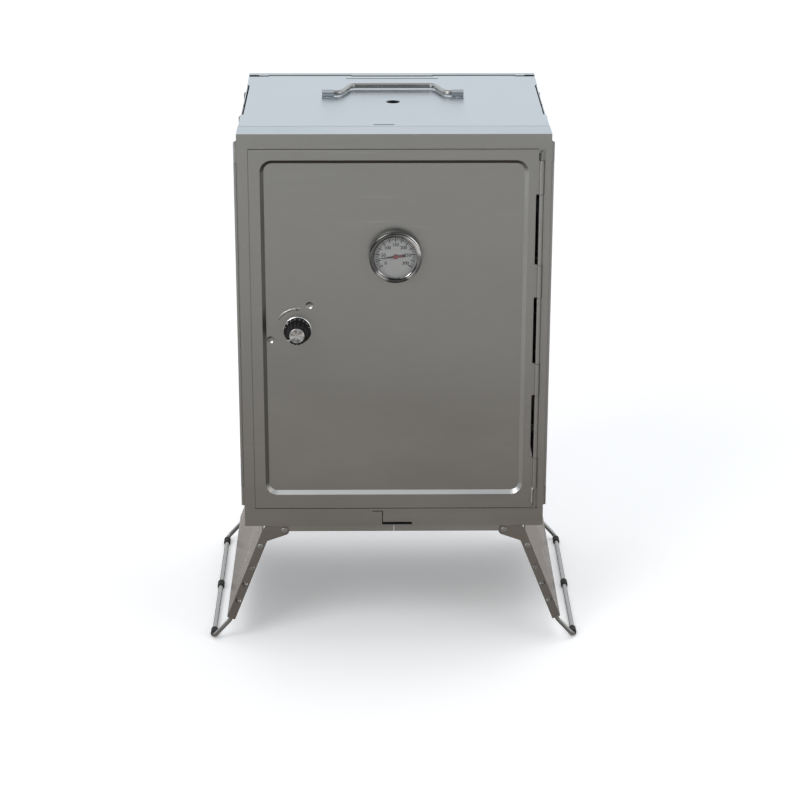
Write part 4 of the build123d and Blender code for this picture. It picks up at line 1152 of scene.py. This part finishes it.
# %% [markdown]
# Two dimples beside the knob stop the latch arm. The model has them as plain cones. Each gets
# a shallow dish inside, as a round punch leaves it, so that light runs out softly over it.

# %% Dimples
DIMPLE_DISTANCE, DIMPLE_ANGLES = 31.0, (64.5, 200.5)
dish = outline_mm(
    (0, -1.55), (0.9, -1.50), (1.7, -1.32), (2.4, -1.02), (3.0, -0.66), (3.5, -0.30), (3.9, 0.0),
    (3.25, -1.9), (0, -1.9),
)


def dimple(degrees):
    """One dish, at an angle about the knob's axis."""
    around, reach = math.radians(degrees), DIMPLE_DISTANCE * MM
    place = (knob_x + reach * math.cos(around), door_floor, knob_z + reach * math.sin(around))
    return lathe(dish, place, TO_VIEWER, 40)


dishes = gather(dimple(degrees) for degrees in DIMPLE_ANGLES)
make_piece("punched_dimples", dishes, steel_front, "door_leaf")

# %% [markdown]
# The pins of the legs have a domed head at one end, a shank through both sheets and a riveted
# end inside.

# %% Pins of the legs
low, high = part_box("leg_pins")
head_radius = (high[2] - low[2]) / 2
pin_z = (low[2] + high[2]) / 2
HEAD, SHANK, TAIL, SHANK_RADIUS = 1.4 * MM, 2.9 * MM, 1.2 * MM, 2.0 * MM
pin_outline = [(r * head_radius, h * HEAD) for r, h in DOME[:-1]]
pin_outline += [(SHANK_RADIUS, 0), (SHANK_RADIUS, -SHANK), (head_radius, -SHANK)]
pin_outline += [(head_radius, -SHANK - 0.7 * TAIL), (0.85 * head_radius, -SHANK - TAIL)]
pin_outline += [(0, -SHANK - TAIL)]
pins = gather(
    lathe(pin_outline, (x, y, pin_z), (0, way, 0), 32)
    for x in (low[0] + head_radius, high[0] - head_radius)
    for y, way in ((low[1] + HEAD, -1), (high[1] - HEAD, 1))
)
remake("stand_pins", pins, pin_steel, "frame", "leg_pins")

# %% [markdown]
# ## Hinge pins
#
# The pins of the rolled hinges are plain rods, cut and tumbled, so their ends are slightly
# round. A node's box says how long a pin is and which way it runs.

# %% Turned pins
bodies = frame["record"]["behaviour"]["bodies"]
for node in HINGE_PINS:
    body = next(name for name, members in bodies.items() if node in members)
    low, high = (Vector(corner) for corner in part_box(node))
    size = high - low
    way = max(range(3), key=lambda axis: size[axis])
    length, radius = size[way], min(size) / 2
    start = (low + high) / 2
    start[way] = low[way]
    axis = [0, 0, 0]
    axis[way] = 1
    rod = [(0, 0), (0.55 * radius, 0), (0.9 * radius, 0.2 * radius), (radius, 0.6 * radius)]
    rod += [(r, length - h) for r, h in reversed(rod)]
    remake(node + "_rod", lathe(rod, start, axis, 28), pin_steel, body, node)

# %% [markdown]
# ## Sleeves of the feet
#
# Each wire foot stands on three rubber sleeves. A sleeve is a tube with rounded ends and two
# shallow rings, and it is pressed flat where it meets the ground, so the lathe's form is cut
# by a level plane and the cut is closed.

# %% Sleeves
SLEEVE, WIRE, RING_FLOOR, SLEEVE_LENGTH = 4.0, 2.5, 3.65, 12.0      # in millimetres
sleeve_outline = outline_mm(
    (WIRE, 0), (3.3, 0), (3.8, 0.25), (SLEEVE, 0.8),
    (SLEEVE, 3.4), (RING_FLOOR, 3.7), (RING_FLOOR, 4.2), (SLEEVE, 4.5),
    (SLEEVE, 7.5), (RING_FLOOR, 7.8), (RING_FLOOR, 8.3), (SLEEVE, 8.6),
    (SLEEVE, 11.2), (3.8, 11.75),
    (3.3, SLEEVE_LENGTH), (WIRE, SLEEVE_LENGTH), (WIRE, 0),
)
for side in ("left", "right"):
    low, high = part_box(side + "_foot_tips")
    x, z = (low[0] + high[0]) / 2, high[2] - SLEEVE * MM
    starts = (low[1], (low[1] + high[1] - SLEEVE_LENGTH * MM) / 2, high[1] - SLEEVE_LENGTH * MM)
    sleeves = gather(lathe(sleeve_outline, (x, y, z), (0, 1, 0), 40) for y in starts)
    cut = bmesh.ops.bisect_plane(
        sleeves, geom=sleeves.verts[:] + sleeves.edges[:] + sleeves.faces[:],
        plane_co=(0, 0, low[2]), plane_no=(0, 0, -1), clear_outer=True,
    )["geom_cut"]
    bmesh.ops.holes_fill(sleeves, edges=edges_of(cut), sides=0)
    body, node = side + "_stand_leg", side + "_foot_tips"
    remake(side + "_sleeves", sleeves, foot_rubber, body, node, sharp=50)

# %% [markdown]
# ## The racks
#
# A rack's rim is one wire, bent at four corners and welded shut in the middle of its lower
# side. The wire bender makes it, and a loop adds the thinner bars, whose ends are welded into
# the rim.

# %% Wire racks
RIM_WIRE, BAR_WIRE, CORNER, BARS = 2.0 * MM, 1.25 * MM, 10.0 * MM, 19
for name in ("upper_rack", "lower_rack"):
    low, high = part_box(name)
    y = (low[1] + high[1]) / 2
    left_x, right_x = low[0] + RIM_WIRE, high[0] - RIM_WIRE
    foot_level, head_level = low[2] + RIM_WIRE, high[2] - RIM_WIRE
    rim_route = [
        (0, y, foot_level), (right_x, y, foot_level), (right_x, y, head_level),
        (left_x, y, head_level), (left_x, y, foot_level), (0, y, foot_level),
    ]
    parts = [bent_wire(rim_route, [CORNER] * 4, RIM_WIRE, 20)]
    for index in range(BARS):
        x = left_x + (index + 1) * (right_x - left_x) / (BARS + 1)
        parts.append(bent_wire([(x, y, foot_level), (x, y, head_level)], [], BAR_WIRE, 14))
    remake(name + "_wires", gather(parts), rack_steel, "back", name)

# %% [markdown]
# ## Behind the door
#
# The thermometer's stem ends in a rounded tip, and the two nuts have their corners turned
# off, as every pressed nut has.

# %% Stem and nuts
low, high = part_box("gauge_stem")
stem_long = (high[1] - low[1]) / MM
stem_outline = outline_mm(
    (0, 0), (3.0, 0), (3.0, stem_long - 2.6), (2.7, stem_long - 1.3), (1.9, stem_long - 0.4),
    (0.9, stem_long - 0.05), (0, stem_long),
)
stem = lathe(stem_outline, (gauge_x, low[1], gauge_z), (0, 1, 0), 40)
remake("probe_stem", stem, pin_steel, "door_leaf", "gauge_stem")

LEVEL = 1e-6            # metres of rise that still count as level


def pressed_nut(name, node, centre, bore, body):
    """A hexagonal nut that fills a node's box, with its corners turned off and an open bore."""
    low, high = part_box(node)
    across_flats, height = high[2] - low[2], high[1] - low[1]
    bm = bmesh.new()
    bmesh.ops.create_circle(bm, cap_ends=False, segments=6, radius=across_flats / math.sqrt(3))
    bmesh.ops.create_circle(bm, cap_ends=False, segments=36, radius=bore)
    bmesh.ops.bridge_loops(bm, edges=bm.edges[:])
    grown = bmesh.ops.extrude_face_region(bm, geom=bm.faces[:])["geom"]
    bmesh.ops.translate(bm, vec=(0, 0, height), verts=verts_of(grown))
    bmesh.ops.recalc_face_normals(bm, faces=bm.faces)
    rims = []
    for edge in bm.edges:
        start, end = (vert.co for vert in edge.verts)
        outside = min(start.to_2d().length, end.to_2d().length) > across_flats * 0.45
        if outside and abs(start.z - end.z) < LEVEL:
            rims.append(edge)
    bmesh.ops.bevel(
        bm, geom=rims, offset=height * 0.10, segments=2, profile=0.5, affect="EDGES", material=-1
    )
    place = (centre[0], low[1], centre[1])
    bmesh.ops.transform(bm, matrix=Matrix.Translation(place) @ aim_at((0, 1, 0)), verts=bm.verts)
    return remake(name, bm, pin_steel, body, node, sharp=30)


pressed_nut("probe_nut", "gauge_nut", (gauge_x, gauge_z), 4.5 * MM, "door_leaf")
pressed_nut("knob_nut", "latch_nut", (knob_x, knob_z), 3.0 * MM, "latch")

# %% [markdown]
# ## The visual box
#
# The dressed oven has to stay within the model's own box, so the box of all that is drawn is
# printed.

# %% Sizes
import json

low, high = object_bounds()
print("visual box:", [round(v, 4) for v in low], [round(v, 4) for v in high])
